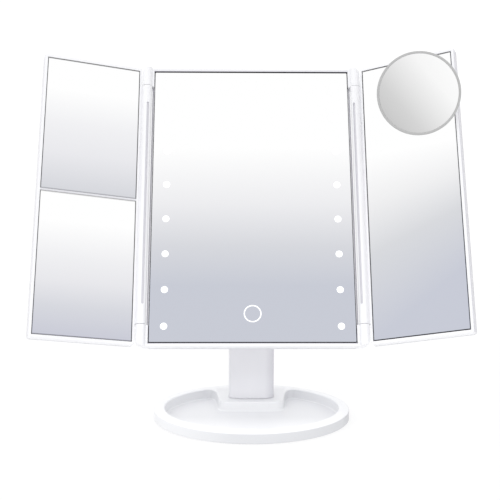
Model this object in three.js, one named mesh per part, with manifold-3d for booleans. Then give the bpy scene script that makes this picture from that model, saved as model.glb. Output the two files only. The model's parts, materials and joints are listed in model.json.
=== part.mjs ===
// A tri-fold lighted make-up mirror on an oval tray base.
// Millimetres, +Z up, the viewer at -Y. The origin is on the table, under the middle of the base.
import * as THREE from 'three';
import { mergeVertices } from 'three/addons/utils/BufferGeometryUtils.js';
import Module from 'manifold-3d';

const wasm = await Module();
wasm.setup();

// Clearances
const seatGap = 0.3; // between pieces that rest on each other
const runningGap = 0.2; // round a pin or a shaft in its hole

// Base
const baseHalfWidth = 80.5;
const baseHalfDepth = 59.5;
const baseHeight = 10.2;
const padThickness = 0.5;
const padInset = 2;
const padGap = 0.2; // the glue under the tray
const floorThickness = 1;
const rimWidth = 7.5;
const rimRound = 2.2;
const rimInnerRound = 1.2;
const trayFillet = 3;
const pedestalBesideNeck = 8;
const pedestalBeforeNeck = 7.5;
const pedestalCorner = 8;
const pedestalFlare = 1.5;
const pedestalPocketCorner = 14;

// Neck
const neckWidth = 38;
const neckThickness = 15;
const neckCrown = 3; // how far its faces bulge in the middle
const neckCorner = 2.6;
const neckWall = 2;
const neckY = 25;
const tenonInset = 6; // from the neck's sides to the tenon that stands in the tray
const tenonDepth = 8.6;
const tenonRise = 11.8;
const socketFloor = 2.3;
const baseScrewRadius = 1.7;
const baseScrewHead = 3.6;
const lowerScrewAboveBase = 27.8;
const upperScrewBelowHinge = 26;

// Tilt hinge, where the neck carries the centre panel
const hingeHeight = 126;
const hingeBarrelRadius = 7.2;
const hingeBehindCover = 0.8; // between the barrel and the panel's back
const hingeBelowCentre = 46.5;
const tiltAtRest = 31;
const tiltShaftRadius = 2.5;
const tiltBushWall = 1.8;
const earThickness = 7;
const earFoot = 13;
const earRound = 7.4;
const earRecessRadius = 5.2;
const washerThickness = 0.5;
const washerGap = 0.25;
const shaftHeadRadius = 4.4;
const shaftHeadThickness = 1.7;
const shaftPastNut = 0.2;
const nutThickness = 1.6;
const nutGap = 0.6; // round the nut in its recess
const nutThreadGap = 0.6;
const capSink = 0.9;
const capCrown = 0.9;

// Centre glass and its frame. Depths are measured back from the plane of the leaf hinges' axes.
const glassWidth = 165;
const glassHeight = 239;
const glassThickness = 2;
const glassChamfer = 0.6;
const glassCorner = 1.2;
const bezelFront = 0.5;
const glassRecess = 0.4;
const bezelHeight = 2.9;
const sideWall = 1.5;
const frameDepth = 8;
const wireRoom = 1.6; // behind the board, for the leads
const frameEdgeRound = 0.7;
const coverEdgeRound = 2.2;
const ledgeWidth = 4;
const ledgeThickness = 2;
const shellWall = 2;
const frameCorner = 2;
const partingGap = 0.3;

// Leaf hinges
const barrelRadius = 4.1;
const barrelBesideGlass = 2.1;
const earHeight = 17.2;
const barrelEndGap = 0.4;
const earCornerWidth = 7.7;
const earCornerHeight = 5;
const grooveWidth = 1.9;
const grooveDepth = 1.1;
const grooveEnd = 16;
const pinRadius = 1.2;
const pinHoleWall = 4;
const pinIntoBarrel = 3.7;
const pinHoleInBarrel = 12;

// Leaves
const leafGlassBesideBarrel = 2.6;
const leafGlassWidth = 78;
const leafGlassShortfall = 1; // how much lower it is than the centre glass
const leafBezel = 2.6;
const leafBesideBarrel = 0.4;
const leafDepth = 9;
const leafCoverThickness = 2.2;
const leafLedge = 3;
const leafLedgeThickness = 1.5;
const leafWall = 1.8;
const leafCorner = 2.2;
const clipLength = 10;
const clipFromEnd = 29;
const clipThickness = 1.2;
const leftLeafFold = 18;
const rightLeafFold = 27;
const dividerWidth = 1.7;
const dividerHeight = 0.5;
const dividerFoot = 7;
const upperGlassDip = 0.8;
const lowerGlassDip = 1.1;

// Lights, touch sensor, board and power inlet
const lightsPerSide = 8;
const lightFromGlassEdge = 12;
const lightFromGlassEnd = 13.45;
const topLights = 5; // those between the two corner lights
const topLightFromGlassEdge = 35.5;
const topStripOverrun = 6;
const chipWidth = 2.8;
const chipLength = 3.5;
const chipHeight = 1;
const stripWidth = 6;
const stripThickness = 1;
const stripOverrun = 2.4;
const carrierThickness = 1.5;
const carrierLipGap = 1.3;
const carrierCorner = 10.4;
const railWidth = 1.6;
const railHeight = 1.1;
const pillarRadius = 2.5;
const pillarFromCarrierSide = 16.5;
const pillarFromCarrierEnd = 31.5;
const touchFromGlassEnd = 23.8;
const touchPadRadius = 6;
const touchPadThickness = 0.6;
const touchPostRadius = 1.5;
const boardWidth = 50;
const boardHeight = 22;
const boardThickness = 1.6;
const boardFromGlassEnd = 19.5;
const inletX = 16;
const inletWidth = 7.5;
const inletHeight = 2.7;
const inletWall = 0.35;

// Batteries and their box
const batteryRadius = 5.25;
const batteryLength = 44.5;
const batteryGap = 0.5;
const batteryCount = 4;
const contactThickness = 0.4;
const springLength = 4;
const boxAboveHinge = 18.5;
const batteryBoxWall = 1.8;
const boxFloorThickness = 0.9;
const bulgeMargin = 4.6;
const bulgeRound = 2.4;
const doorThickness = 1.6;
const doorLedge = 1.6;
const terminalWidth = 2;
const leadRadius = 0.45;
const leadSpread = 4;
const leadBend = 5;

// Round mirror on its suction mount
const mountFromGlassSide = 24.3;
const mountFromGlassEnd = 41;
const mountPan = 29.1;
const mountTilt = 31.1;
const cupRadius = 12.3;
const cupHeight = 8.5;
const hubRadius = 5;
const hubFlange = 1.5;
const studRadius = 2.1;
const forkBaseRadius = 6.2;
const forkBaseThickness = 2.6;
const lugAboveFork = 0.8;
const forkEarThickness = 2.2;
const lugThickness = 4.4;
const lugRound = 3;
const swivelPinRadius = 1.2;
const roundBackOffset = 4.5;
const roundShellWall = 1.6;
const roundGlassSink = 0.9;
const roundRadius = 33.6;
const roundRimWidth = 2.4;
const roundGlassThickness = 1.2;
const roundGlassDip = 1.5;

// Screws
const screwHeadRadius = 2.6;
const screwHeadHeight = 1.4;
const screwShankRadius = 1.1;
const coverScrewInset = 5.5;
const coverScrewDrop = 5.5;
const screwBossRadius = 3.2;

// Sizes that follow from those above
const rad = THREE.MathUtils.degToRad;
const baseBottom = padThickness + padGap;
const floorTop = baseBottom + floorThickness;
const pedestalHalfWidth = neckWidth / 2 + pedestalBesideNeck;
const pedestalFront = neckY - neckThickness / 2 - pedestalBeforeNeck;
const tenonWidth = neckWidth - 2 * tenonInset;
const tenonTop = baseHeight + tenonRise;
const neckBottom = baseHeight + seatGap;
const neckScrewHeights = [baseHeight + lowerScrewAboveBase, hingeHeight - upperScrewBelowHinge];
const beyond = 2 * (glassWidth + glassHeight); // past everything, for cuts
const glassFront = bezelFront + glassRecess;
const glassBack = glassFront + glassThickness;
const ledgeFront = glassBack + seatGap;
const ledgeBack = ledgeFront + ledgeThickness;
const parting = bezelFront + frameDepth;
const coverFront = parting + partingGap;
const pocketHalfWidth = glassWidth / 2 + seatGap;
const pocketHalfHeight = glassHeight / 2 + seatGap;
const bodyHalfWidth = pocketHalfWidth + sideWall;
const bodyHalfHeight = glassHeight / 2 + bezelHeight;
const hingeAxisX = glassWidth / 2 + barrelBesideGlass + barrelRadius;
const earFrom = bodyHalfHeight - earHeight;
const barrelHalf = earFrom - barrelEndGap;
const pinOuterEnd = bodyHalfHeight - pinHoleWall - seatGap;
const pinLength = pinOuterEnd - barrelHalf + pinIntoBarrel;
const earInner = neckWidth / 2 + washerThickness + 2 * washerGap;
const earOuter = earInner + earThickness;
const shaftHoleRadius = tiltShaftRadius + runningGap;
const tiltBushRadius = shaftHoleRadius + tiltBushWall;
const earRecessDepth = seatGap + nutThickness + shaftPastNut + runningGap + capSink;
const nutRadius = earRecessRadius - nutGap;
const leafGlassStart = barrelRadius + leafGlassBesideBarrel;
const leafInnerEdge = barrelRadius + leafBesideBarrel;
const leafGlassHeight = glassHeight - leafGlassShortfall;
const leafOuterEdge = leafGlassStart + leafGlassWidth + seatGap + leafBezel;
const leafHalfHeight = leafGlassHeight / 2 + seatGap + leafBezel;
const leafParting = bezelFront + leafDepth - leafCoverThickness - partingGap;
const leafBack = bezelFront + leafDepth;
const lightX = glassWidth / 2 - lightFromGlassEdge;
const lightTopZ = glassHeight / 2 - lightFromGlassEnd;
const lightPitch = (2 * lightTopZ) / (lightsPerSide - 1);
const topLightPitch = (glassWidth - 2 * topLightFromGlassEdge) / (topLights - 1);
const stripFront = ledgeFront + chipHeight;
const stripBack = stripFront + stripThickness;
const carrierFront = stripBack + seatGap;
const carrierBack = carrierFront + carrierThickness;
const carrierHalfWidth = pocketHalfWidth - ledgeWidth - seatGap;
const carrierHalfHeight = pocketHalfHeight - ledgeWidth - seatGap;
const boardFront = carrierBack + seatGap;
const boardBack = boardFront + boardThickness;
const carrierLip = lightFromGlassEdge - stripWidth / 2 - ledgeWidth - carrierLipGap;
const pillarX = carrierHalfWidth - pillarFromCarrierSide;
const pillarZ = carrierHalfHeight - pillarFromCarrierEnd;
const touchBelowCentre = glassHeight / 2 - touchFromGlassEnd;
const boardBelowCentre = glassHeight / 2 - boardFromGlassEnd;
const coverInner = boardBack + wireRoom;
const coverBack = coverInner + shellWall;
const tiltAxisY = coverBack + hingeBarrelRadius + hingeBehindCover;
const tiltAxisZ = -hingeBelowCentre;
const batteryPitch = 2 * batteryRadius + batteryGap;
const batteryBoxBottom = tiltAxisZ + boxAboveHinge;
const batteryRowHalf = (batteryPitch * batteryCount) / 2;
const boxHalfWidth = batteryRowHalf + 0.4;
const boxFront = coverFront + boxFloorThickness + 0.1;
const batteryY = boxFront + seatGap + batteryRadius;
const contactRoom = seatGap + contactThickness;
const boxTop = batteryBoxBottom + 2 * contactRoom + springLength + batteryLength + seatGap;
const doorFront = batteryY + batteryRadius + 0.5;
const bulgeBack = doorFront + doorThickness;
const screwX = pocketHalfWidth - coverScrewInset;
const screwZ = pocketHalfHeight - coverScrewDrop;
const pilotRadius = screwShankRadius + 0.25;
const headSeatRadius = screwHeadRadius + 0.4;
const mountX = leafGlassStart + leafGlassWidth - mountFromGlassSide;
const mountZ = leafGlassHeight / 2 - mountFromGlassEnd;
const hubBottom = cupHeight + seatGap;
const forkBottom = hubBottom + hubFlange + seatGap;
const forkBaseTop = forkBottom + forkBaseThickness;
const forkPinHeight = forkBaseTop + lugRound + lugAboveFork;

// Finishes
const white = { color: 0xf3f3f8, roughness: 0.3, metalness: 0 };
const whiteMatt = { color: 0xe9e9ee, roughness: 0.55, metalness: 0 };
const mirror = { color: 0xdfe2ea, roughness: 0.04, metalness: 1 };
const greyRing = { color: 0xbdbdbd, roughness: 0.4, metalness: 0 };
const steel = { color: 0xc6c8cc, roughness: 0.35, metalness: 1 };
const nylon = { color: 0xd8d6cc, roughness: 0.6, metalness: 0 };
const rubber = { color: 0xb9bac0, roughness: 0.8, metalness: 0 };
const board = { color: 0x1e6b3c, roughness: 0.5, metalness: 0 };
const stripWhite = { color: 0xf0efe6, roughness: 0.5, metalness: 0 };
const cell = { color: 0x4a5a6a, roughness: 0.4, metalness: 0.2 };
const lead = { color: 0x8c2d2a, roughness: 0.6, metalness: 0 };

// A closed solid from a geometry, turned right side out if it isn't.
function solid(geometry) {
  const bare = new THREE.BufferGeometry();
  bare.setAttribute('position', geometry.getAttribute('position').clone());
  if (geometry.index) bare.setIndex(geometry.index.clone());
  const merged = mergeVertices(bare, 1e-4);
  const position = merged.getAttribute('position').array;
  const corner = (i) => new THREE.Vector3().fromArray(position, 3 * i);
  const faces = [];
  let volume = 0;
  for (let i = 0; i < merged.index.count; i += 3) {
    const [a, b, c] = [0, 1, 2].map((k) => merged.index.getX(i + k));
    if (a === b || b === c || c === a) continue;
    faces.push([a, b, c]);
    volume += corner(a).dot(corner(b).cross(corner(c)));
  }
  const triVerts = faces.flatMap(([a, b, c]) => (volume > 0 ? [a, b, c] : [a, c, b]));
  const vertProperties = new Float32Array(position);
  return new wasm.Manifold(
    new wasm.Mesh({ numProp: 3, vertProperties, triVerts: new Uint32Array(triVerts) }),
  );
}

const joined = (pieces) => pieces.reduce((sum, piece) => sum.add(piece));
const cut = (body, tools) => tools.reduce((rest, tool) => rest.subtract(tool), body);
const bothSides = (make) => [-1, 1].map(make);

function block(x0, x1, y0, y1, z0, z1) {
  const geometry = new THREE.BoxGeometry(Math.abs(x1 - x0), Math.abs(y1 - y0), Math.abs(z1 - z0));
  geometry.translate((x0 + x1) / 2, (y0 + y1) / 2, (z0 + z1) / 2);
  return solid(geometry);
}

// A shape turned about an axis: the profile's points are [radius, distance along the axis].
function turned(profile, axis, centre, segments = 24) {
  const points = profile.map(([radius, along]) => new THREE.Vector2(radius, along));
  const geometry = new THREE.LatheGeometry(points, segments);
  if (axis === 'x') geometry.rotateZ(-Math.PI / 2);
  if (axis === 'z') geometry.rotateX(Math.PI / 2);
  geometry.translate(...centre);
  return solid(geometry);
}

const disc = (radius, from, to) => [[0, from], [radius, from], [radius, to], [0, to]];

function ring(inner, outer, from, to) {
  return [[inner, from], [outer, from], [outer, to], [inner, to], [inner, from]];
}

function roundedRectangle(x0, x1, y0, y1, r) {
  const shape = new THREE.Shape();
  shape.moveTo(x0 + r, y0);
  shape.lineTo(x1 - r, y0);
  shape.absarc(x1 - r, y0 + r, r, -Math.PI / 2, 0);
  shape.lineTo(x1, y1 - r);
  shape.absarc(x1 - r, y1 - r, r, 0, Math.PI / 2);
  shape.lineTo(x0 + r, y1);
  shape.absarc(x0 + r, y1 - r, r, Math.PI / 2, Math.PI);
  shape.lineTo(x0, y0 + r);
  shape.absarc(x0 + r, y0 + r, r, Math.PI, 1.5 * Math.PI);
  return shape;
}

// A plate drawn as seen from the front (x across, z up) between two depths, its edges rounded.
function slab(shape, front, back, round = 0, roundSteps = 2) {
  const geometry = new THREE.ExtrudeGeometry(shape, {
    depth: back - front - 2 * round,
    bevelEnabled: round > 0,
    bevelThickness: round,
    bevelSize: round,
    bevelOffset: -round,
    bevelSegments: roundSteps,
    curveSegments: 4,
  });
  geometry.translate(0, 0, round - back);
  geometry.rotateX(Math.PI / 2);
  return solid(geometry);
}

// A shape drawn from the side (y across, z up) and drawn out along x.
function crossSlab(shape, x0, x1) {
  const geometry = new THREE.ExtrudeGeometry(shape, {
    depth: x1 - x0,
    bevelEnabled: false,
    curveSegments: 12,
  });
  geometry.translate(0, 0, x0);
  geometry.applyMatrix4(new THREE.Matrix4().set(0, 0, 1, 0, 1, 0, 0, 0, 0, 1, 0, 0, 0, 0, 0, 1));
  return solid(geometry);
}

// A column whose plan outline grows or shrinks with height: levels are [offset outwards, height].
function column(outline, levels) {
  const count = outline.length;
  const normals = outline.map((_, i) => {
    const before = outline[(i + count - 1) % count];
    const after = outline[(i + 1) % count];
    return new THREE.Vector2(after.y - before.y, before.x - after.x).normalize();
  });
  const vertices = [];
  for (const [offset, height] of levels) {
    outline.forEach((p, i) => {
      vertices.push(p.x + normals[i].x * offset, p.y + normals[i].y * offset, height);
    });
  }
  const index = [];
  for (let level = 0; level < levels.length - 1; level += 1) {
    for (let i = 0; i < count; i += 1) {
      const a = level * count + i;
      const b = level * count + ((i + 1) % count);
      index.push(a, b, b + count, a, b + count, a + count);
    }
  }
  const top = (levels.length - 1) * count;
  for (const [a, b, c] of THREE.ShapeUtils.triangulateShape(outline, [])) {
    index.push(c, b, a, top + a, top + b, top + c);
  }
  const geometry = new THREE.BufferGeometry();
  geometry.setAttribute('position', new THREE.Float32BufferAttribute(vertices, 3));
  geometry.setIndex(index);
  return solid(geometry);
}

// Quarter-round steps of a column's levels, from the wall at `height` to the face `round` away.
function quarterRound(round, height, direction, steps = 4) {
  const levels = [];
  for (let i = 0; i <= steps; i += 1) {
    const angle = (i / steps) * (Math.PI / 2);
    levels.push([-round * (1 - Math.cos(angle)), height + direction * round * Math.sin(angle)]);
  }
  return levels;
}

function screw(axis, centre, head, tip, headRadius = screwHeadRadius, shankRadius = screwShankRadius) {
  const neck = head + Math.sign(tip - head) * screwHeadHeight;
  return turned(
    [[0, head], [headRadius, head], [headRadius, neck], [shankRadius, neck], [shankRadius, tip],
      [0, tip]],
    axis, centre, 14,
  );
}

function mesh(name, body, finish) {
  const data = body.getMesh();
  const geometry = new THREE.BufferGeometry();
  geometry.setAttribute('position', new THREE.BufferAttribute(data.vertProperties, 3));
  geometry.setIndex(new THREE.BufferAttribute(data.triVerts, 1));
  geometry.computeVertexNormals();
  const made = new THREE.Mesh(geometry, new THREE.MeshStandardMaterial(finish));
  made.name = name;
  return made;
}

// The oval outline, moved inwards by `inset` all round.
function oval(inset, count = 96) {
  const points = [];
  for (let i = 0; i < count; i += 1) {
    const angle = (i / count) * 2 * Math.PI;
    const p = new THREE.Vector2(baseHalfWidth * Math.cos(angle), baseHalfDepth * Math.sin(angle));
    const normal = new THREE.Vector2(p.x / baseHalfWidth ** 2, p.y / baseHalfDepth ** 2).normalize();
    points.push(p.addScaledVector(normal, -inset));
  }
  return points;
}

// The tray's hollow seen from above: the oval inside the rim, less the pedestal that runs
// into the back of the rim through two soft corners.
function trayHollow() {
  const inner = oval(rimWidth);
  const joinX = pedestalHalfWidth + pedestalPocketCorner;
  const kept = inner.filter((p) => p.y < 0 || Math.abs(p.x) > joinX);
  const start = kept.findIndex((p, i) => i > 0 && p.x < 0 && kept[i - 1].x > 0 && p.y > 0);
  const front = [...kept.slice(start), ...kept.slice(0, start)];
  const left = front[0];
  const right = front[front.length - 1];
  const sideTop = pedestalFront + pedestalCorner * 2.2;
  const rise = 0.48 * pedestalPocketCorner;
  const half = [
    new THREE.QuadraticBezierCurve(
      new THREE.Vector2(right.x, right.y),
      new THREE.Vector2(pedestalHalfWidth + pedestalFlare * 2, right.y + rise),
      new THREE.Vector2(pedestalHalfWidth + pedestalFlare, sideTop),
    ),
    new THREE.QuadraticBezierCurve(
      new THREE.Vector2(pedestalHalfWidth, pedestalFront + pedestalCorner * 1.3),
      new THREE.Vector2(pedestalHalfWidth, pedestalFront + pedestalCorner * 0.3),
      new THREE.Vector2(pedestalHalfWidth - pedestalCorner, pedestalFront + pedestalCorner * 0.16),
    ),
  ];
  const rightSide = [...half[0].getPoints(8).slice(1), ...half[1].getPoints(6)];
  const leftSide = rightSide.map((p) => new THREE.Vector2(-p.x, p.y)).reverse();
  const middle = new THREE.Vector2(0, pedestalFront);
  return [...front, ...rightSide, middle, ...leftSide].filter((p) => p !== left || p === front[0]);
}

function trayBase() {
  const body = column(oval(0), [
    [-0.4, baseBottom],
    [0, baseBottom + 0.4],
    ...quarterRound(rimRound, baseHeight - rimRound, 1),
  ]);
  const hollow = column(trayHollow(), [
    ...quarterRound(trayFillet, floorTop + trayFillet, -1).reverse(),
    ...quarterRound(rimInnerRound, baseHeight, -1)
      .reverse()
      .map(([offset, height]) => [offset + rimInnerRound, height]),
    [rimInnerRound, baseHeight + 1],
  ]);
  const half = [tenonWidth / 2 + seatGap, tenonDepth / 2 + seatGap];
  const socket = block(
    -half[0], half[0], neckY - half[1], neckY + half[1], baseBottom + socketFloor, baseHeight + 1,
  );
  const headSeat = baseBottom + screwHeadHeight + 0.2;
  const screwHole = turned(
    [[0, 0], [baseScrewHead + 0.4, 0], [baseScrewHead + 0.4, headSeat],
      [baseScrewRadius + 0.25, headSeat], [baseScrewRadius + 0.25, 5], [0, 5]],
    'z', [0, neckY, 0], 20,
  );
  return cut(body, [hollow, socket, screwHole]);
}

const nonSlipPad = () => column(oval(padInset), [[0, 0], [0, padThickness]]);

const baseScrew = () => screw(
  'z', [0, neckY, 0], baseBottom + 0.1, tenonTop - 4, baseScrewHead, baseScrewRadius,
);

// The neck's section: flat sides, crowned front and back, soft corners.
function neckOutline() {
  const halfWidth = neckWidth / 2;
  const edge = neckThickness / 2 - neckCrown;
  const shape = new THREE.Shape();
  shape.moveTo(halfWidth, neckCorner - edge);
  shape.lineTo(halfWidth, edge - neckCorner);
  shape.quadraticCurveTo(halfWidth, edge, halfWidth - neckCorner, edge + neckCrown * 0.25);
  shape.quadraticCurveTo(halfWidth / 2, edge + neckCrown, 0, edge + neckCrown);
  shape.quadraticCurveTo(-halfWidth / 2, edge + neckCrown, neckCorner - halfWidth, edge + neckCrown * 0.25);
  shape.quadraticCurveTo(-halfWidth, edge, -halfWidth, edge - neckCorner);
  shape.lineTo(-halfWidth, neckCorner - edge);
  shape.quadraticCurveTo(-halfWidth, -edge, neckCorner - halfWidth, -edge - neckCrown * 0.25);
  shape.quadraticCurveTo(-halfWidth / 2, -edge - neckCrown, 0, -edge - neckCrown);
  shape.quadraticCurveTo(halfWidth / 2, -edge - neckCrown, halfWidth - neckCorner, -edge - neckCrown * 0.25);
  shape.quadraticCurveTo(halfWidth, -edge, halfWidth, neckCorner - edge);
  const points = shape.getPoints(4).slice(0, -1);
  return points.map((p) => new THREE.Vector2(p.x, p.y + neckY));
}

function neckTube() {
  const half = neckWidth / 2;
  const body = column(neckOutline(), [[0, neckBottom], [0, hingeHeight]]);
  const barrel = turned(
    [[0, -half], [hingeBarrelRadius - 1, -half], [hingeBarrelRadius, 1 - half],
      [hingeBarrelRadius, half - 1], [hingeBarrelRadius - 1, half], [0, half]],
    'x', [0, neckY, hingeHeight], 32,
  );
  const hollow = column(neckOutline(), [
    [-neckWall, neckBottom + neckWall], [-neckWall, hingeHeight - hingeBarrelRadius - 2],
  ]);
  const bore = turned(
    disc(tiltBushRadius + runningGap, -half - 1, half + 1), 'x', [0, neckY, hingeHeight],
  );
  return cut(body.add(barrel), [hollow, bore]);
}

function neckScrewBoss(radius, height, from, to) {
  return turned(disc(radius, from, to), 'y', [0, neckY, height], 16);
}

function neckFrontShell() {
  const parted = cut(neckTube(), [block(-beyond, beyond, neckY - 0.1, beyond, 0, beyond)]);
  const reach = neckThickness / 2 - neckWall / 2;
  const bosses = neckScrewHeights.map((z) => neckScrewBoss(screwBossRadius, z, -reach, -0.1));
  const pilots = neckScrewHeights.map((z) => neckScrewBoss(pilotRadius, z, 1.5 - reach, 1));
  const tenonRoom = block(
    -tenonWidth / 2 - seatGap, tenonWidth / 2 + seatGap,
    neckY - tenonDepth / 2 - seatGap, neckY + tenonDepth / 2, 0, tenonTop + seatGap,
  );
  return cut(joined([parted, ...bosses]), [...pilots, tenonRoom]);
}

function neckRearShell() {
  const parted = cut(neckTube(), [block(-beyond, beyond, -beyond, neckY + 0.1, 0, beyond)]);
  const back = neckThickness / 2;
  const bosses = neckScrewHeights.map((z) => neckScrewBoss(headSeatRadius + 1.2, z, 0.1, back - 0.5));
  const tenon = block(
    -tenonWidth / 2, tenonWidth / 2, neckY - tenonDepth / 2, neckY + tenonDepth / 2,
    baseBottom + socketFloor + seatGap, tenonTop,
  );
  const web = block(
    -tenonWidth / 2, tenonWidth / 2, neckY + 1, neckY + back - neckWall / 2, neckBottom, tenonTop,
  );
  const holes = neckScrewHeights.flatMap((z) => [
    neckScrewBoss(pilotRadius, z, -1, back + 1),
    neckScrewBoss(headSeatRadius, z, back - screwHeadHeight - 1, back + 1),
  ]);
  const pilot = turned(disc(baseScrewRadius + 0.25, 0, tenonTop - 3), 'z', [0, neckY, 0], 20);
  return cut(joined([parted, ...bosses, tenon, web]), [...holes, pilot]);
}

const neckScrew = (z) => screw('y', [0, neckY, z], neckThickness / 2 - 0.7, -3.5);

const atHinge = [0, neckY, hingeHeight];
const tiltBush = () => turned(
  ring(shaftHoleRadius, tiltBushRadius, seatGap - neckWidth / 2, neckWidth / 2 - seatGap),
  'x', atHinge,
);

function frictionWasher(side) {
  const from = neckWidth / 2 + washerGap;
  return turned(
    ring(shaftHoleRadius, hingeBarrelRadius - 0.8, side * from, side * (from + washerThickness)),
    'x', atHinge,
  );
}

// The front of one hinge ear: its outer end is softened to a quarter of an oval.
function earOutline(side, end) {
  const inner = bodyHalfWidth - 1;
  const outer = hingeAxisX + barrelRadius;
  const shape = new THREE.Shape();
  const at = (x, z) => [side * x, end * z];
  shape.moveTo(...at(inner, earFrom));
  shape.lineTo(...at(outer, earFrom));
  shape.lineTo(...at(outer, bodyHalfHeight - earCornerHeight));
  for (let i = 1; i <= 6; i += 1) {
    const angle = (i / 6) * (Math.PI / 2);
    shape.lineTo(...at(
      outer - earCornerWidth * (1 - Math.cos(angle)),
      bodyHalfHeight - earCornerHeight * (1 - Math.sin(angle)),
    ));
  }
  shape.lineTo(...at(inner, bodyHalfHeight));
  return shape;
}

function hingeEar(side, end) {
  const column = turned(
    disc(barrelRadius, earFrom * end, bodyHalfHeight * end), 'z', [side * hingeAxisX, 0, 0], 32,
  );
  const behind = block(
    side * (bodyHalfWidth - 1), side * (hingeAxisX + barrelRadius), 0, parting,
    end * earFrom, end * bodyHalfHeight,
  );
  const outline = slab(earOutline(side, end), -barrelRadius - 1, parting, 0);
  return column.add(behind).intersect(outline);
}

const corners = [[-1, -1], [1, -1], [-1, 1], [1, 1]];

function centreFrontFrame() {
  const body = slab(
    roundedRectangle(-bodyHalfWidth, bodyHalfWidth, -bodyHalfHeight, bodyHalfHeight, frameCorner),
    bezelFront, parting, frameEdgeRound,
  );
  const w = pocketHalfWidth;
  const h = pocketHalfHeight;
  const pocket = block(-w, w, -1, ledgeFront, -h, h);
  const opening = block(ledgeWidth - w, w - ledgeWidth, -1, parting + 1, ledgeWidth - h, h - ledgeWidth);
  const behindX = bodyHalfWidth - shellWall;
  const behindZ = bodyHalfHeight - shellWall;
  const behind = block(-behindX, behindX, ledgeBack, parting + 1, -behindZ, behindZ);
  const slots = bothSides((side) => block(
    side * (glassWidth / 2), side * (bodyHalfWidth + 1), -1, ledgeFront, -earFrom, earFrom,
  ));
  const ears = corners.map(([side, end]) => hingeEar(side, end));
  const pinHoles = corners.map(([side, end]) => turned(
    disc(pinRadius + runningGap, end * (earFrom - 1), end * (bodyHalfHeight - pinHoleWall)),
    'z', [side * hingeAxisX, 0, 0], 14,
  ));
  const bosses = corners.map(([side, end]) => turned(
    disc(screwBossRadius, ledgeFront, parting), 'y', [side * screwX, 0, end * screwZ], 16,
  ));
  const pilots = corners.map(([side, end]) => turned(
    disc(pilotRadius, ledgeFront + 1, parting + 1), 'y', [side * screwX, 0, end * screwZ], 12,
  ));
  const framed = cut(body, [pocket, opening, behind, ...slots]);
  return cut(joined([framed, ...ears, ...bosses]), [...pinHoles, ...pilots]);
}

function flatGlass(x0, x1, z0, z1) {
  return slab(roundedRectangle(x0, x1, z0, z1, glassCorner), glassFront, glassBack, glassChamfer, 1);
}

const centreGlass = () => flatGlass(-glassWidth / 2, glassWidth / 2, -glassHeight / 2, glassHeight / 2);

function lightCarrier() {
  const w = carrierHalfWidth;
  const h = carrierHalfHeight;
  const c = carrierCorner;
  const outline = new THREE.Shape([
    [w, c - h], [w, h - c], [w - c, h], [c - w, h], [-w, h - c], [-w, c - h], [c - w, -h], [w - c, -h],
  ].map(([x, z]) => new THREE.Vector2(x, z)));
  const inside = block(carrierLip - w, w - carrierLip, 0, carrierFront, carrierLip - h, h - carrierLip);
  const railX = lightX - stripWidth / 2 - seatGap;
  const stripEnd = lightTopZ + stripOverrun;
  const rails = bothSides((side) => block(
    side * (railX - railWidth), side * railX, carrierFront - railHeight, carrierFront + 0.2,
    -stripEnd, stripEnd - stripWidth - 2,
  ));
  const touchHole = turned(
    disc(touchPostRadius + 0.7, 0, carrierBack + 1), 'y', [0, 0, -touchBelowCentre], 16,
  );
  const plate = cut(slab(outline, ledgeFront, carrierBack), [inside]);
  return cut(joined([plate, ...rails]), [touchHole]);
}

const chip = (x, z, acrossX, alongZ) => block(
  x - acrossX / 2, x + acrossX / 2, ledgeFront, stripFront + 0.2, z - alongZ / 2, z + alongZ / 2,
);

function sideLightStrip(side) {
  const x = side * lightX;
  const end = lightTopZ + stripOverrun;
  const strip = block(x - stripWidth / 2, x + stripWidth / 2, stripFront, stripBack, -end, end);
  const chips = [];
  for (let i = 0; i < lightsPerSide; i += 1) {
    chips.push(chip(x, lightTopZ - i * lightPitch, chipWidth, chipLength));
  }
  return joined([strip, ...chips]);
}

function topLightStrip() {
  const reach = ((topLights - 1) / 2) * topLightPitch;
  const strip = block(
    -reach - topStripOverrun, reach + topStripOverrun, stripFront, stripBack,
    lightTopZ - stripWidth / 2, lightTopZ + stripWidth / 2,
  );
  const chips = [];
  for (let i = 0; i < topLights; i += 1) {
    chips.push(chip(i * topLightPitch - reach, lightTopZ, chipLength, chipWidth));
  }
  return joined([strip, ...chips]);
}

function touchSensor() {
  return turned(
    [[0, ledgeFront], [touchPadRadius, ledgeFront], [touchPadRadius, ledgeFront + touchPadThickness],
      [touchPostRadius, ledgeFront + touchPadThickness], [touchPostRadius, carrierBack],
      [0, carrierBack]],
    'y', [0, 0, -touchBelowCentre], 20,
  );
}

function controlBoard() {
  const bottom = -boardBelowCentre - boardHeight / 2;
  const top = bottom + boardHeight;
  const plate = block(-boardWidth / 2, boardWidth / 2, boardFront, boardBack, bottom, top);
  const chips = [
    block(-5, 2, boardBack - 0.1, boardBack + 0.9, bottom + 6, bottom + 11),
    block(-17, -12, boardBack - 0.1, boardBack + 1.2, bottom + 4, bottom + 9),
    block(-19, -14, boardBack - 0.1, boardBack + 0.7, top - 7, top - 3),
  ];
  const notch = block(
    inletX - inletWidth / 2 - seatGap, inletX + inletWidth / 2 + seatGap, boardFront - 1, boardBack + 1,
    -boardBelowCentre - inletHeight / 2 - seatGap, -boardBelowCentre + inletHeight / 2 + seatGap,
  );
  return cut(joined([plate, ...chips]), [notch]);
}

function inletShape(grow) {
  const halfWidth = inletWidth / 2 + grow;
  const halfHeight = inletHeight / 2 + grow;
  return roundedRectangle(
    inletX - halfWidth, inletX + halfWidth,
    -boardBelowCentre - halfHeight, -boardBelowCentre + halfHeight, 0.7,
  );
}

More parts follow.
